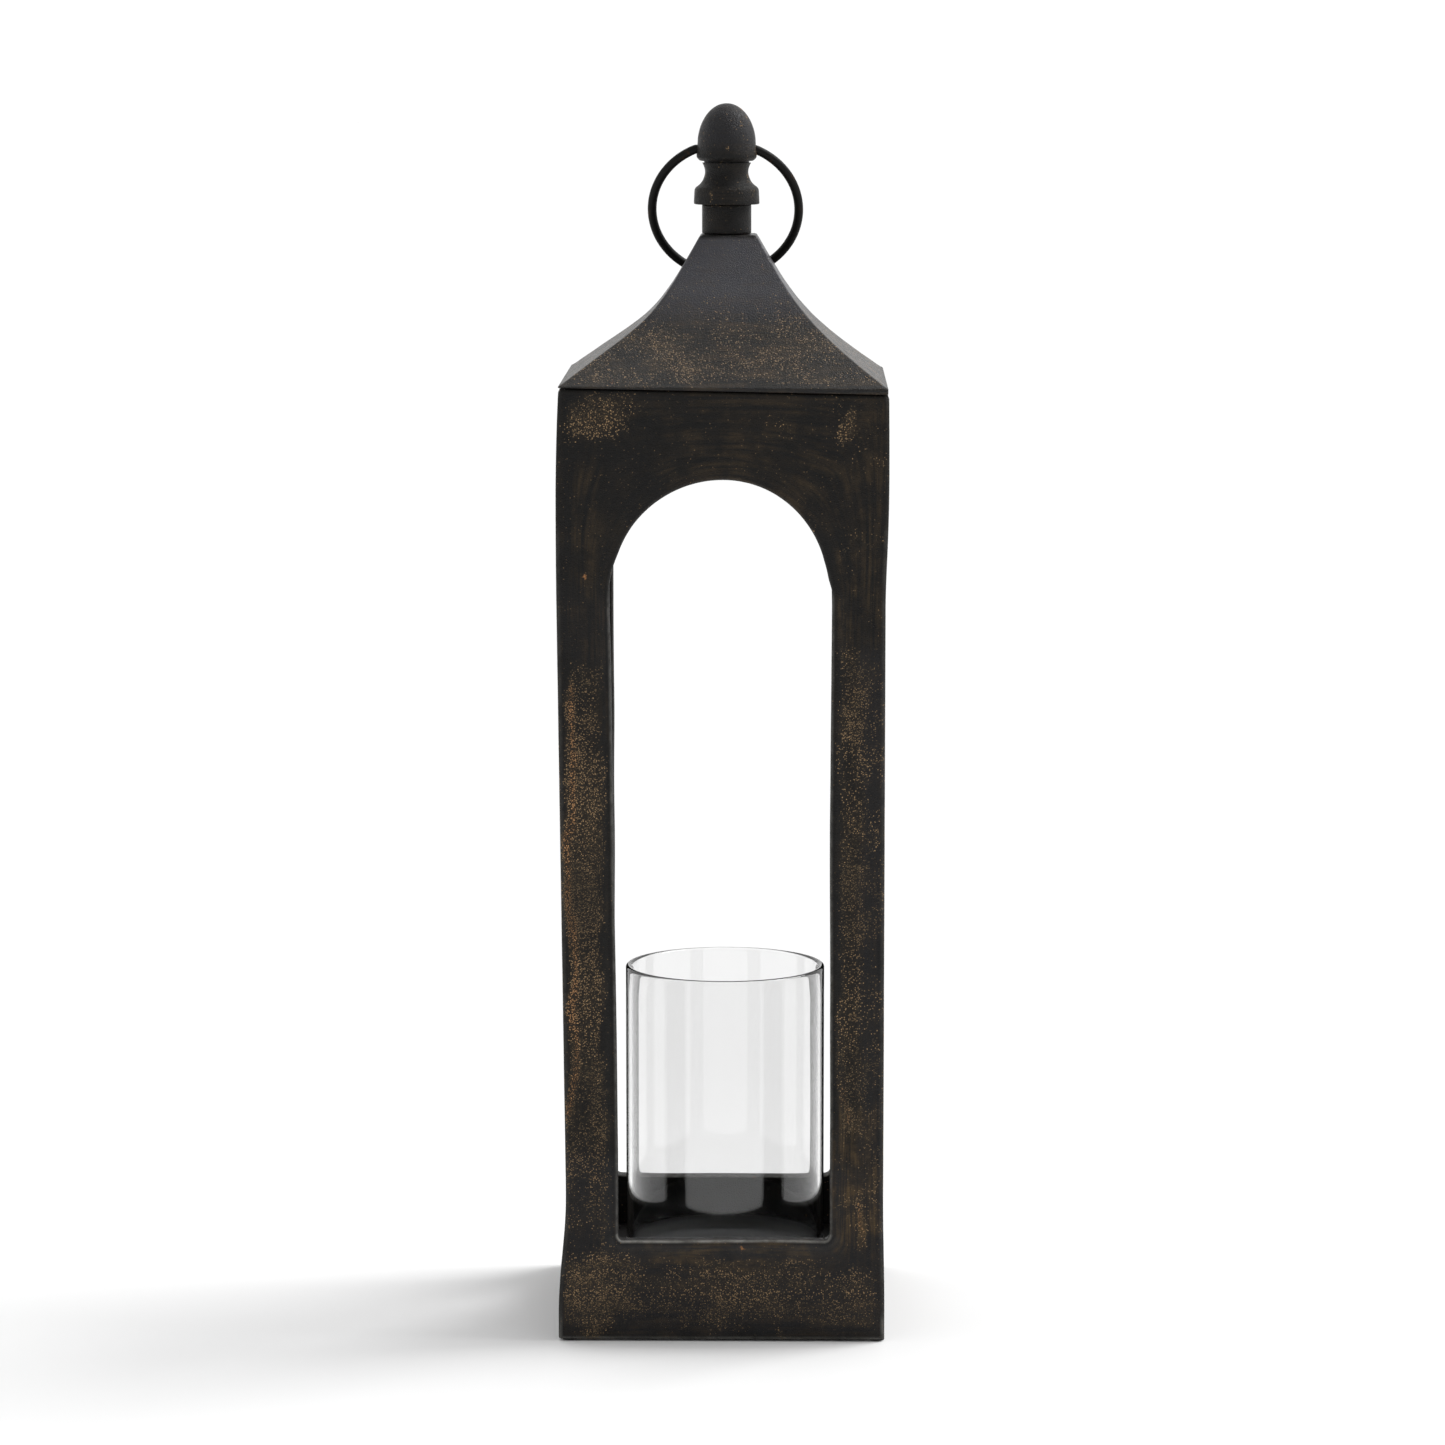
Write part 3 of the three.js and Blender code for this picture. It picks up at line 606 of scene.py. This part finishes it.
def panel_rings(side):
    """A panel, seen as the front one, in rings that run once round its section.

    Each ring comes as (points, wear, distance from the opening). With them come, for each point
    of a ring, its distance along the opening from the crown and how bright its edge is painted,
    partly wear and partly a painted highlight.
    """
    rear = side == "rear"
    opening = opening_loop(REAR_ARCH if rear else ARCH, REAR_SHIFT if rear else 0.0)
    outline = boundary_loop()
    assert len(opening) == len(outline)
    corner_cut = CORNER_ROUND * (1 - math.sqrt(0.5))
    left, right = neighbours(side)
    seed = 7.3 + 11 * SIDES.index(side)

    def hand_cast(i):
        """How far off its drawn line the opening was finished, in millimetres."""
        x, z, nx, _ = opening[i]
        wobble = noise.noise(Vector((x / 46, z / 46, seed)))
        if side not in FILED:
            return 0.45 * wobble
        on_side = abs(nx) if z < UPRIGHT_TOP_Z else 1.0
        unevenness = 0.55 if z < SILL_BAND_Z else 0.15
        return unevenness * wobble + on_side * filed(FILED[side][0 if x < 0 else 1], z)

    cast = [hand_cast(i) for i in range(len(opening))]

    def on_opening(i, offset):
        x, z, nx, nz = opening[i]
        away = offset + cast[i] * (1 - smooth_step(0, 10, offset))
        return x + nx * away, z + nz * away

    def on_outline(i, inset, inner):
        part, z = outline[i]
        z = min(max(z, PANEL_BOTTOM + inset), PANEL_TOP - inset)
        low = (INNER_FACE if inner else reach(left, z) - corner_cut) - SEAM
        high = (INNER_FACE if inner else reach(right, z) - corner_cut) - SEAM
        x = part * (high if part > 0 else low)
        return min(max(x, inset - low), high - inset), z

    def outer_point(x, z):
        """Lifts a point of the face to its depth, with its rounded edges."""
        to_edge = reach(left, z) + x if x < 0 else reach(right, z) - x
        fall = rounded_back(to_edge, CORNER_ROUND)
        fall += rounded_back(z - PANEL_BOTTOM, 0.9) + rounded_back(PANEL_TOP - z, 2.1)
        ripple = 0.16 * noise.noise(Vector((x / 21, z / 21, seed + 1.7))) - 0.1
        return x, fall - reach(side, z) - ripple * smooth_step(0, 6, to_edge), z

    count = len(opening)
    rings = []
    face_start, face_inset = 5.5, 3.2

    for k in range(6):
        angle = math.radians(18 * k)
        ring = []
        for i in range(count):
            x, z = on_opening(i, ARRIS * (1 - math.cos(angle)))
            x, y, z = outer_point(x, z)
            ring.append((x, y + ARRIS * (1 - math.sin(angle)), z))
        rings.append((ring, math.sin(2 * angle) ** 2, ARRIS * angle))
    for offset in (3.4, face_start):
        rings.append(([outer_point(*on_opening(i, offset)) for i in range(count)], 0.2 / offset, offset))
    for step in range(1, 6):
        t = step / 6
        ring = []
        for i in range(count):
            ax, az = on_opening(i, face_start)
            bx, bz = on_outline(i, face_inset, False)
            ring.append(outer_point(mix(ax, bx, t), mix(az, bz, t)))
        rings.append((ring, 0.0, mix(face_start, 23, t)))
    for inset, wear in ((face_inset, 0.0), (1.9, 0.0), (1.1, 0.2), (0.5, 0.3), (0.2, 0.3), (0.0, 0.2)):
        ring = [outer_point(*on_outline(i, inset, False)) for i in range(count)]
        rings.append((ring, wear, 26.2 - inset))

    def inner_point(x, z, depth=INNER_FACE):
        return x, -depth, z

    for inset in (0.0, 2.5):
        rings.append(([inner_point(*on_outline(i, inset, True)) for i in range(count)], 0.0, 40 - inset))
    for step in (1, 2):
        ring = []
        for i in range(count):
            bx, bz = on_outline(i, 2.5, True)
            ax, az = on_opening(i, 4.0)
            ring.append(inner_point(mix(bx, ax, step / 3), mix(bz, az, step / 3)))
        rings.append((ring, 0.0, 37 - 10 * step))
    rings.append(([inner_point(*on_opening(i, 4.0)) for i in range(count)], 0.0, 10.0))
    for k in range(4):
        angle = math.radians(30 * k)
        ring = []
        for i in range(count):
            x, z = on_opening(i, INNER_ARRIS * (1 - math.sin(angle)))
            ring.append(inner_point(x, z, INNER_FACE + INNER_ARRIS * (1 - math.cos(angle))))
        rings.append((ring, 0.7 * math.sin(2 * angle), 6.0 - k))
    for t in (0.3, 0.7):
        ring = []
        for i in range(count):
            x, z = on_opening(i, 0.0)
            front = outer_point(x, z)[1] + ARRIS
            ring.append((x, mix(-INNER_FACE - INNER_ARRIS, front, t), z))
        rings.append((ring, 0.0, 3.0 - 3 * t))
    return rings, distances_from_crown(opening), [opening_wear_and_highlight(z) for _, z, _, _ in opening]


def face_values(vertices, zones):
    """The zones' value at each vertex of a panel's outer face, and 0 at all the others."""
    return [zone_value(zones, x, z) if y < -INNER_FACE - PAINTED_DEPTH else 0.0
            for x, y, z in vertices]


def make_panels(material):
    for k, side in enumerate(SIDES):
        rings, along, wear_and_highlight = panel_rings(side)
        vertices, faces = loft([ring for ring, _, _ in rings], closed=True)
        marks = {
            # edge: worn arrises, partly a painted highlight
            "edge": [wear * share for _, wear, _ in rings for share in wear_and_highlight],
            "rub": face_values(vertices, FRONT_RUB if side == "front" else OTHER_RUB),
            "brush": face_values(vertices, FRONT_BRUSH if side == "front" else OTHER_BRUSH),
            "pale": face_values(vertices, PALER_ZONES),
            "grain": [(way * MM, off * MM, x * 0.2 * MM)
                      for ring, _, off in rings for (x, _, _), way in zip(ring, along)],
        }
        turned = move(vertices, Matrix.Rotation(k * math.pi / 2, 3, "Z"))
        fitted = [(x, y, z + eave_line(x) * smooth_step(*EAVE_BLEND, z)) for x, y, z in turned]
        panel = make_object(f"{side}_arch_panel", fitted, faces, marks=marks)
        finish_piece(panel, material, "frame", f"{side}_panel")


def finish_piece(obj, material, body, node):
    obj.data.materials.append(material)
    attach(obj, body)
    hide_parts(node)


# ---------------------------------------------------------------- roof

ROOF_TOP = 14.0
ROOF_TOP_Z = 550.0
BOSS_Z = 540.0
ROD_HOLE = 4.3
HIP_ROUND = 0.9
BOSS_REACH = 59.0       # the screw bosses stand this far out, both ways
PER_SIDE = 22
PER_CORNER = 4


def rounded_square(half, z, radius):
    """A square ring with rounded corners, PER_SIDE + PER_CORNER points to a quarter."""
    ring = []
    inner = half - radius
    for quarter in range(4):
        turn = Matrix.Rotation(quarter * math.pi / 2, 3, "Z")
        for y in spread(-inner, inner, PER_SIDE):
            ring.append(tuple(turn @ Vector((half, y, z))))
        for angle in spread(0, 90, PER_CORNER):
            a = math.radians(angle)
            corner = Vector((inner + radius * math.cos(a), inner + radius * math.sin(a), z))
            ring.append(tuple(turn @ corner))
    return ring


def matching_circle(radius, z):
    """A circle with its points where rounded_square has them, seen from the axis."""
    return [(radius * x / math.hypot(x, y), radius * y / math.hypot(x, y), z)
            for x, y, _ in rounded_square(10.0, z, 0.5)]


def roof_solid():
    """The hollow roof. Its upper face leans a little to the right; the rod's hole stays put."""
    outer = bezier([(EAVE, EAVE_Z), (39, 509.2), (37, 508.6), (ROOF_TOP, ROOF_TOP_Z)], 44)
    inner = bezier([(74.4, EAVE_Z), (36.4, 506.2), (34, 506), (15, BOSS_Z)], 20)

    def lower(ring):
        return [(x, y, z + eave_line(x) * (1 - smooth_step(478, 492, z))) for x, y, z in ring]

    def upper(ring):
        moved = []
        for x, y, z in ring:
            lift = (0.25 - 0.55 * x / EAVE) * (1 - smooth_step(480, 510, z))
            moved.append((x + 1.8 * smooth_step(488, 515, z), y, z + lift))
        return moved

    rings = [lower(rounded_square(w, EAVE_Z + up, r))
             for w, up, r in ((79.0, 0, 0.6), (80.7, 0, 0.8), (80.92, 0.08, 0.9), (81.0, 0.3, 0.9))]
    rings += [upper(rounded_square(w, z, 0.9)) for w, z in ((81.0, 477.8), (80.7, 478.2), (80.0, 478.5))]
    for w, z in outer:
        if w < 79.5 and z < ROOF_TOP_Z - 1:
            ripple = 0.14 * noise.noise(Vector((w / 9, z / 9, 4.2)))
            rings.append(upper(rounded_square(w, z + ripple, HIP_ROUND)))
    rings += [upper(rounded_square(w, z, 1.2))
              for w, z in ((14.35, 549.2), (13.9, 549.75), (13.2, ROOF_TOP_Z))]
    rings += [matching_circle(ROD_HOLE + 5, ROOF_TOP_Z), matching_circle(ROD_HOLE, ROOF_TOP_Z)]
    rings += [matching_circle(ROD_HOLE, BOSS_Z), matching_circle(ROD_HOLE + 5, BOSS_Z)]
    rings += [lower(rounded_square(w, z, 1.5)) for w, z in reversed(inner)]
    return loft(rings, closed=True)


def roof_boss(x, y):
    """One of the four drilled bosses that the roof's screws go into."""
    outside = arc((4.7, EAVE_Z + 0.6), 0.6, -90, 0, 3) + [(5.3, EAVE_Z + 11)]
    hole = [(2.0, EAVE_Z + 9), (2.0, EAVE_Z + 0.3), (2.3, EAVE_Z)]
    profile = [(0, EAVE_Z + 9)] + hole + outside + [(0, EAVE_Z + 11)]
    return move_solid(lathe(profile, 24), Matrix.Translation((x, y, eave_line(x))))


def roof_rub(z):
    """Copper shows most on the lower slopes and hardly at the top."""
    low = smooth_step(477, 482, z) * (1 - smooth_step(496, 530, z))
    return 0.32 * low + 0.03


def roof_painted_top_light(z):
    """Painted top light: the upper slopes are painted paler, as if lit from above, up to just under the
    flat top.
    """
    return 1.15 * smooth_step(500, 530, z) * (1 - smooth_step(547.5, 549.5, z))


def make_roof(material):
    ends = (-BOSS_REACH, BOSS_REACH)
    vertices, faces = join(roof_solid(), *[roof_boss(x, y) for x in ends for y in ends])
    heights = [z for _, _, z in vertices]
    marks = {
        "rub": [roof_rub(z) for z in heights],
        "brush": [0.2 * (1 - smooth_step(500, 535, z)) for z in heights],
        "pale": [roof_painted_top_light(z) for z in heights],
    }
    roof = make_object("cast_roof", vertices, faces, sharp_degrees=33, marks=marks)
    finish_piece(roof, material, "frame", "roof_cap")


# ---------------------------------------------------------------- neck and finial

NECK_LOW = ROOF_TOP_Z + 0.2
NECK_HIGH = 564.8
NECK_RADIUS = 12.4
FINIAL_OFFSET = 0.8     # the finial sits a little to the right on its rod
FINIAL_HOLE = 5.1
FINIAL_LOW = 565.0
FINIAL_TOP = 615.4
PIVOT_Z = 592.5
BORE_RADIUS = 2.45      # of the cross bore that the ring's ends turn in
BORE_REACH = 30.0
ROD_HOLE_TOP_Z = 584.0
LATHE_SIDES = 112


def finial_rub(x, y, z):
    """A faint even rubbing, with a few small worn spots on the finial but not on the neck."""
    if z < FINIAL_LOW:
        return 0.05
    return 0.05 + 0.6 * smooth_step(0.37, 0.57, noise.noise(Vector((x / 5, y / 5, z / 5 + 2.7))))


def make_turned(name, solid, material, node):
    moved = move_solid(solid, Matrix.Translation((FINIAL_OFFSET, 0, 0)))
    marks = {
        "rub": [finial_rub(*v) for v in solid[0]],
        # Painted top light: the upper acorn is painted paler, as if lit from above.
        "pale": [0.3 * smooth_step(588, 600, z) for _, _, z in solid[0]],
    }
    made = make_object(name, *moved, marks=marks)
    if node == "finial":
        drilled(made)
    finish_piece(made, material, "frame", node)


def neck_profile():
    profile = [(FINIAL_HOLE, NECK_LOW), (NECK_RADIUS - 1.0, NECK_LOW)]
    profile += arc((NECK_RADIUS - 0.8, NECK_LOW + 0.8), 0.8, -90, 0, 4)
    profile += [(NECK_RADIUS, z) for z in spread(NECK_LOW + 2, NECK_HIGH - 1.2, 6)]
    profile += arc((NECK_RADIUS - 0.6, NECK_HIGH - 0.6), 0.6, 0, 90, 4)
    profile += [(FINIAL_HOLE, NECK_HIGH)]
    return profile


def finial_profile():
    """Collar, cove and acorn, turned in one, with a blind hole for the rod."""
    profile = [(0, ROD_HOLE_TOP_Z), (FINIAL_HOLE, ROD_HOLE_TOP_Z)]
    profile += [(FINIAL_HOLE, FINIAL_LOW + 0.5), (FINIAL_HOLE + 0.5, FINIAL_LOW)]
    profile += [(11, FINIAL_LOW), (15.5, FINIAL_LOW)]
    profile += arc((15.8, FINIAL_LOW + 0.7), 0.7, -90, 0, 4)
    profile += [(16.4, 568), (16.25, 571.4), (16.1, 572.3), (15.75, 573.1), (15.1, 573.8)]
    profile += bezier([(15.1, 573.8), (12.5, 575.4), (11.6, 578)], 8)[1:]
    profile += bezier([(11.6, 578), (10.6, 580.2), (10.6, 582.6), (12.1, 585.4)], 12)[1:]
    profile += [(12.3, 585.7), (11.4, 585.8), (11.3, 586.2), (11.4, 586.6), (13.1, 586.7), (13.9, 587.1)]
    profile += [(14.5, 587.8)]
    profile += bezier([(14.5, 587.8), (15.3, 588.2), (15.1, 590.4)], 6)[1:]
    profile += [(14.85, 593), (14.6, 596)]
    profile += bezier([(14.6, 596), (14.5, 605), (8.8, FINIAL_TOP), (0, FINIAL_TOP)], 26)[1:]
    return profile


def drilled(obj):
    """Cuts the ring's round bore along X through a piece, and drops the tool."""
    profile = [(0, -BORE_REACH), (BORE_RADIUS, -BORE_REACH), (BORE_RADIUS, BORE_REACH), (0, BORE_REACH)]
    place = Matrix.Translation((0, 0, PIVOT_Z)) @ Matrix.Rotation(math.pi / 2, 4, "Y")
    cutter = make_object("drill", *move_solid(lathe(profile, 40), place))
    cut = obj.modifiers.new("cross_bore", "BOOLEAN")
    cut.operation = "DIFFERENCE"
    cut.solver = "EXACT"
    cut.object = cutter
    bpy.context.view_layer.update()
    graph = bpy.context.evaluated_depsgraph_get()
    result = bpy.data.meshes.new_from_object(obj.evaluated_get(graph))
    obj.modifiers.clear()
    obj.data = result
    bpy.data.objects.remove(cutter)


# ---------------------------------------------------------------- carrying ring

RING_RADIUS = 37.05
WIRE = 2.25
RING_LEAN = math.radians(25)
RING_CROSSING = 14.8
STUB_START = 4.0
STUB_END = 14.3
STUB_ROUND = 0.35       # rounding of the wire's two ends


def ring_half_path():
    """The right half of the wire's centreline in its own (x, v) plane, and its lowest point."""
    drop = math.sqrt(RING_RADIUS ** 2 - RING_CROSSING ** 2)
    start = math.atan2(RING_CROSSING, drop) + 0.09
    first = (RING_RADIUS * math.sin(start), RING_RADIUS * math.cos(start) - drop)
    knee = first[0] + first[1] / math.tan(start)
    path = [(x, 0.0) for x in spread(STUB_START, STUB_END, 6)]
    path += bezier([(STUB_END, 0), (knee, 0), first], 6)[:-1]
    for angle in spread(start, math.pi, 90):
        path.append((RING_RADIUS * math.sin(angle), RING_RADIUS * math.cos(angle) - drop))
    return path, (0.0, -RING_RADIUS - drop)


def make_ring(material):
    half, bottom = ring_half_path()
    path = half + [bottom] + [(-x, v) for x, v in reversed(half)]
    rightward = Vector((1, 0))
    rings = [wire_section(STUB_START - STUB_ROUND, 0, rightward, WIRE - STUB_ROUND)]
    for i, (x, v) in enumerate(path):
        before = path[max(i - 1, 0)]
        after = path[min(i + 1, len(path) - 1)]
        along = Vector((after[0] - before[0], after[1] - before[1])).normalized()
        rings.append(wire_section(x, v, along, WIRE))
    rings.append(wire_section(STUB_ROUND - STUB_START, 0, rightward, WIRE - STUB_ROUND))
    stand = Matrix.Translation((0, 0, PIVOT_Z)) @ Matrix.Rotation(RING_LEAN, 4, "X")
    ring = make_object("swing_ring", *move_solid(loft(rings), stand))
    finish_piece(ring, material, "ring", "carry_ring")


def wire_section(x, v, along, radius):
    sides = 20
    made = []
    for k in range(sides):
        a = 2 * math.pi * k / sides
        across, out = radius * math.cos(a), radius * math.sin(a)
        made.append((x - along.y * across, out, v + along.x * across))
    return made


# ---------------------------------------------------------------- glass

def make_glass(material):
    low, high = (corner.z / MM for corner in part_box("glass_hurricane"))
    outer, wall, bottom = 50.8, 2.8, 5.0
    heel, inner_heel, rim = 8.0, 6.0, 1.4
    inside = outer - wall
    profile = [(0, low + 0.9), (22, low + 0.8), (36, low + 0.25), (40, low)]
    profile += arc((outer - heel, low + heel), heel, -90, 0, 12)
    profile += [(outer, z) for z in spread(low + heel + 4, high - rim - 2, 14)]
    profile += arc((outer - rim, high - rim), rim, 0, 180, 12)
    profile += [(inside, z) for z in spread(high - rim - 2, low + bottom + inner_heel + 4, 14)]
    profile += arc((inside - inner_heel, low + bottom + inner_heel), inner_heel, 0, -90, 10)
    profile += [(30, low + bottom), (0, low + bottom)]
    glass = make_object("hurricane_glass", *lathe(profile, 144))
    finish_piece(glass, material, "glass", "glass_hurricane")


# ---------------------------------------------------------------- fasteners, pads and plates

def hexagon(radius, z, sides):
    """A hexagonal ring with sides points, radius to the corners."""
    ring = []
    for k in range(sides):
        a = 2 * math.pi * k / sides
        within = (a % (math.pi / 3)) - math.pi / 6
        distance = radius * math.cos(math.pi / 6) / math.cos(within)
        ring.append((distance * math.cos(a), distance * math.sin(a), z))
    return ring


def thread(radius, low, high, pitch, sides, depth):
    """Rings of a single-start thread between two heights."""
    rings = []
    count = int((high - low) / pitch * 6)
    for k in range(count + 1):
        z = mix(low, high, k / count)
        fade = min(1.0, k / 4, (count - k) / 4)
        ring = []
        for i in range(sides):
            a = 2 * math.pi * i / sides
            turn = (z / pitch - i / sides) % 1.0
            r = radius - depth * fade * abs(2 * turn - 1)
            ring.append((r * math.cos(a), r * math.sin(a), z))
        rings.append(ring)
    return rings


def screw_solid(length):
    """A pan-head screw with a hexagon socket: head below 0, shank up to length."""
    sides = 24
    rings = [hexagon(1.3, -0.9, sides), hexagon(1.3, -1.85, sides), circle(1.6, -2.0, sides)]
    rings += [circle(r, z, sides) for r, z in arc((2.2, -1.0), 1.0, -90, 0, 5)]
    rings += [circle(3.2, -0.15, sides), circle(3.05, 0.0, sides), circle(1.7, 0.0, sides)]
    rings += thread(1.7, 0.5, length - 0.8, 0.7, sides, 0.28)
    rings += [circle(1.2, length - 0.3, sides), circle(0.9, length, sides)]
    return loft(rings)


def screw_direction(name):
    """The turn that points a screw's shank along the axis that its node says."""
    if name.startswith("floor_screw"):
        return Matrix.Rotation(math.pi, 4, "X")
    if name.startswith("roof_screw"):
        return Matrix.Identity(4)
    low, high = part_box(name)
    middle = (low + high) / 2
    size = high - low
    if size.x > size.y:
        return Matrix.Rotation(math.copysign(math.pi / 2, middle.x), 4, "Y")
    return Matrix.Rotation(-math.copysign(math.pi / 2, middle.y), 4, "X")


def make_screws(zinc, black):
    for node in sorted(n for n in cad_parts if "screw" in n):
        low, high = (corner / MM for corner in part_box(node))
        turn = screw_direction(node)
        length = max(high - low) - 2.0
        middle = (low + high) / 2
        head_plane = middle - (turn.to_3x3() @ Vector((0, 0, 1))) * (length / 2 - 1.0)
        solid = move_solid(screw_solid(length), Matrix.Translation(head_plane) @ turn)
        is_black = node.startswith("floor")
        screw = make_object(f"{node}_fine", *solid, sharp_degrees=30)
        finish_piece(screw, black if is_black else zinc, "frame", node)


NUT_WIDTH = 13.0
NUT_SIDES = 48


def make_rod_set(zinc):
    sides = 40
    low, high = (corner.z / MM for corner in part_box("finial_rod"))
    rings = [circle(3.1, low, sides)] + thread(4.0, low + 0.4, high - 0.4, 1.25, sides, 0.6)
    rings += [circle(3.1, high, sides)]
    finish_piece(make_object("threaded_rod", *loft(rings), sharp_degrees=50), zinc, "frame",
                 "finial_rod")

    low, high = (corner.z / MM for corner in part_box("rod_washer"))
    profile = [(4.4, low + 0.1), (4.6, low), (8.7, low), (9.0, low + 0.3), (9.0, high - 0.3),
               (8.7, high), (4.6, high), (4.4, high - 0.1)]
    finish_piece(make_object("flat_washer", *lathe(profile, 64, closed=True)), zinc, "frame",
                 "rod_washer")

    low, high = (corner.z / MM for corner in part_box("rod_nut"))
    rings = [circle(r, z, NUT_SIDES) for r, z in ((4.35, low + 0.6), (5.0, low), (6.3, low))]
    rings += [nut_ring(z, low, high) for z in (low + 0.15, low + 0.9, high - 0.9, high - 0.15)]
    rings += [circle(r, z, NUT_SIDES) for r, z in ((6.3, high), (5.0, high), (4.35, high - 0.6))]
    finish_piece(make_object("hex_nut", *loft(rings, closed=True), sharp_degrees=28), zinc, "frame",
                 "rod_nut")


def nut_ring(z, low, high):
    """A hexagon whose corners are turned down near the nut's two faces."""
    corner = NUT_WIDTH / math.sqrt(3)
    into = min(z - low, high - z)
    limit = corner - max(0.0, 0.9 - into) * 1.2
    ring = []
    for x, y, _ in hexagon(corner, z, NUT_SIDES):
        scale = min(1.0, limit / math.hypot(x, y))
        ring.append((x * scale, y * scale, z))
    return ring


def make_pads(rubber):
    for name in CORNERS:
        node = f"foot_pad_{name}"
        low, high = (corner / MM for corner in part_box(node))
        middle = (low + high) / 2
        radius = (high.x - low.x) / 2 - 0.8
        profile = [(0, low.z + 0.12), (radius - 1.2, low.z)]
        profile += arc((radius - 0.35, low.z + 0.35), 0.35, -90, 0, 4)
        profile += [(radius, high.z), (0, high.z)]
        solid = move_solid(lathe(profile, 40), Matrix.Translation((middle.x, middle.y, 0)))
        finish_piece(make_object(f"{node}_fine", *solid), rubber, "frame", node)


def finish_plates(paint):
    """The floor plate and brackets keep their plain solids, with broken edges and paint."""
    for node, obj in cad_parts.items():
        is_bracket = "_bracket_" in node and "screw" not in node
        if node != "floor_plate" and not is_bracket:
            continue
        edges = obj.modifiers.new("broken_edges", "BEVEL")
        edges.width = 0.35 * MM
        edges.segments = 2
        edges.limit_method = "ANGLE"
        edges.angle_limit = math.radians(40)
        obj.data.materials.clear()
        obj.data.materials.append(paint)


# ---------------------------------------------------------------- floor, light and camera

def stage_floor():
    """A plain pale floor that runs out to the horizon, a shade less bright behind the lantern."""
    half_width = 30.0
    mesh = bpy.data.meshes.new("studio_floor")
    work = bmesh.new()
    bmesh.ops.create_grid(work, x_segments=8, y_segments=8, size=half_width)
    work.to_mesh(mesh)
    work.free()
    floor = bpy.data.objects.new("studio_floor", mesh)
    bpy.context.scene.collection.objects.link(floor)
    g = Graph("pale_floor")
    behind = g.remap(g.node("ShaderNodeSeparateXYZ", {"Vector": g.place}).outputs["Y"], 0.12, 0.7)
    near = g.blend(g.noise(0.7, 2.0), (0.91, 0.91, 0.91, 1), (0.93, 0.93, 0.93, 1))
    g.set("Base Color", g.blend(behind, near, (0.805, 0.805, 0.805, 1)))
    g.set("Roughness", 0.9)
    g.set("Specular IOR Level", 0.1)
    floor.data.materials.append(g.material)


def studio():
    """A white surround, darker on the camera's side, and a soft lamp high on the right, behind."""
    world = bpy.data.worlds.new("studio")
    world.use_nodes = True
    nodes, links = world.node_tree.nodes, world.node_tree.links
    background = nodes["Background"]
    background.inputs["Color"].default_value = (1, 1, 1, 1)
    where = nodes.new("ShaderNodeTexCoord")
    split = nodes.new("ShaderNodeSeparateXYZ")
    level = nodes.new("ShaderNodeMapRange")
    level.interpolation_type = "SMOOTHSTEP"
    for key, number in (("From Min", -0.5), ("From Max", 0.35), ("To Min", 0.42), ("To Max", 1.04)):
        level.inputs[key].default_value = number
    links.new(where.outputs["Generated"], split.inputs[0])
    links.new(split.outputs["Y"], level.inputs["Value"])
    links.new(level.outputs["Result"], background.inputs["Strength"])
    bpy.context.scene.world = world

    data = bpy.data.lights.new("big_soft_lamp", "SUN")
    data.energy = 2.2
    data.angle = math.radians(38)
    lamp = bpy.data.objects.new("big_soft_lamp", data)
    toward = Vector((-0.75, -0.26, -0.85))
    lamp.rotation_euler = toward.to_track_quat("-Z", "Y").to_euler()
    lamp.location = (2, 0.3, 2.4)
    bpy.context.scene.collection.objects.link(lamp)
    bpy.context.scene.view_settings.view_transform = "Standard"


def camera():
    """Far off in front, a little to the right, and just above the roof."""
    from_axis, height, azimuth, pitch = 2.6825, 0.66, math.radians(0.7), math.radians(7.6)
    front = Vector((-0.25 * MM, cad_low.y, 0))
    place = Vector((from_axis * math.sin(azimuth), -from_axis * math.cos(azimuth), height))
    level = Vector((front.x - place.x, front.y - place.y, 0)).normalized()
    look = level * math.cos(pitch) - Vector((0, 0, math.sin(pitch)))
    data = bpy.data.cameras.new("camera")
    data.sensor_width = 36
    data.lens = 132.4
    data.clip_end = 100
    made = bpy.data.objects.new("camera", data)
    made.location = place
    made.rotation_euler = look.to_track_quat("-Z", "Y").to_euler()
    bpy.context.scene.collection.objects.link(made)
    bpy.context.scene.camera = made


# ---------------------------------------------------------------- everything

camera()
panel_metal = rubbed_black("rubbed_black_panels", (18, 18, 18), strokes="grain")
roof_metal = rubbed_black("rubbed_black_roof", (14, 14, 15), specular=0.06, coat=0.43)
finial_metal = rubbed_black("rubbed_black_finial", (18, 18, 18), gloss=0.44)
zinc = plated_steel("zinc_plate", (190, 190, 186), (150, 152, 152))
make_panels(panel_metal)
make_roof(roof_metal)
make_turned("neck_sleeve", lathe(neck_profile(), LATHE_SIDES, closed=True), finial_metal, "finial_neck")
make_turned("acorn_finial", lathe(finial_profile(), LATHE_SIDES), finial_metal, "finial")
make_ring(painted_wire("painted_wire"))
make_glass(hurricane_glass("clear_hurricane_glass"))
make_screws(zinc, plated_steel("black_oxide", (44, 43, 42), (30, 29, 28)))
make_rod_set(zinc)
make_pads(moulded_rubber("pad_rubber"))
finish_plates(sheet_paint("black_sheet_paint"))
stage_floor()
studio()
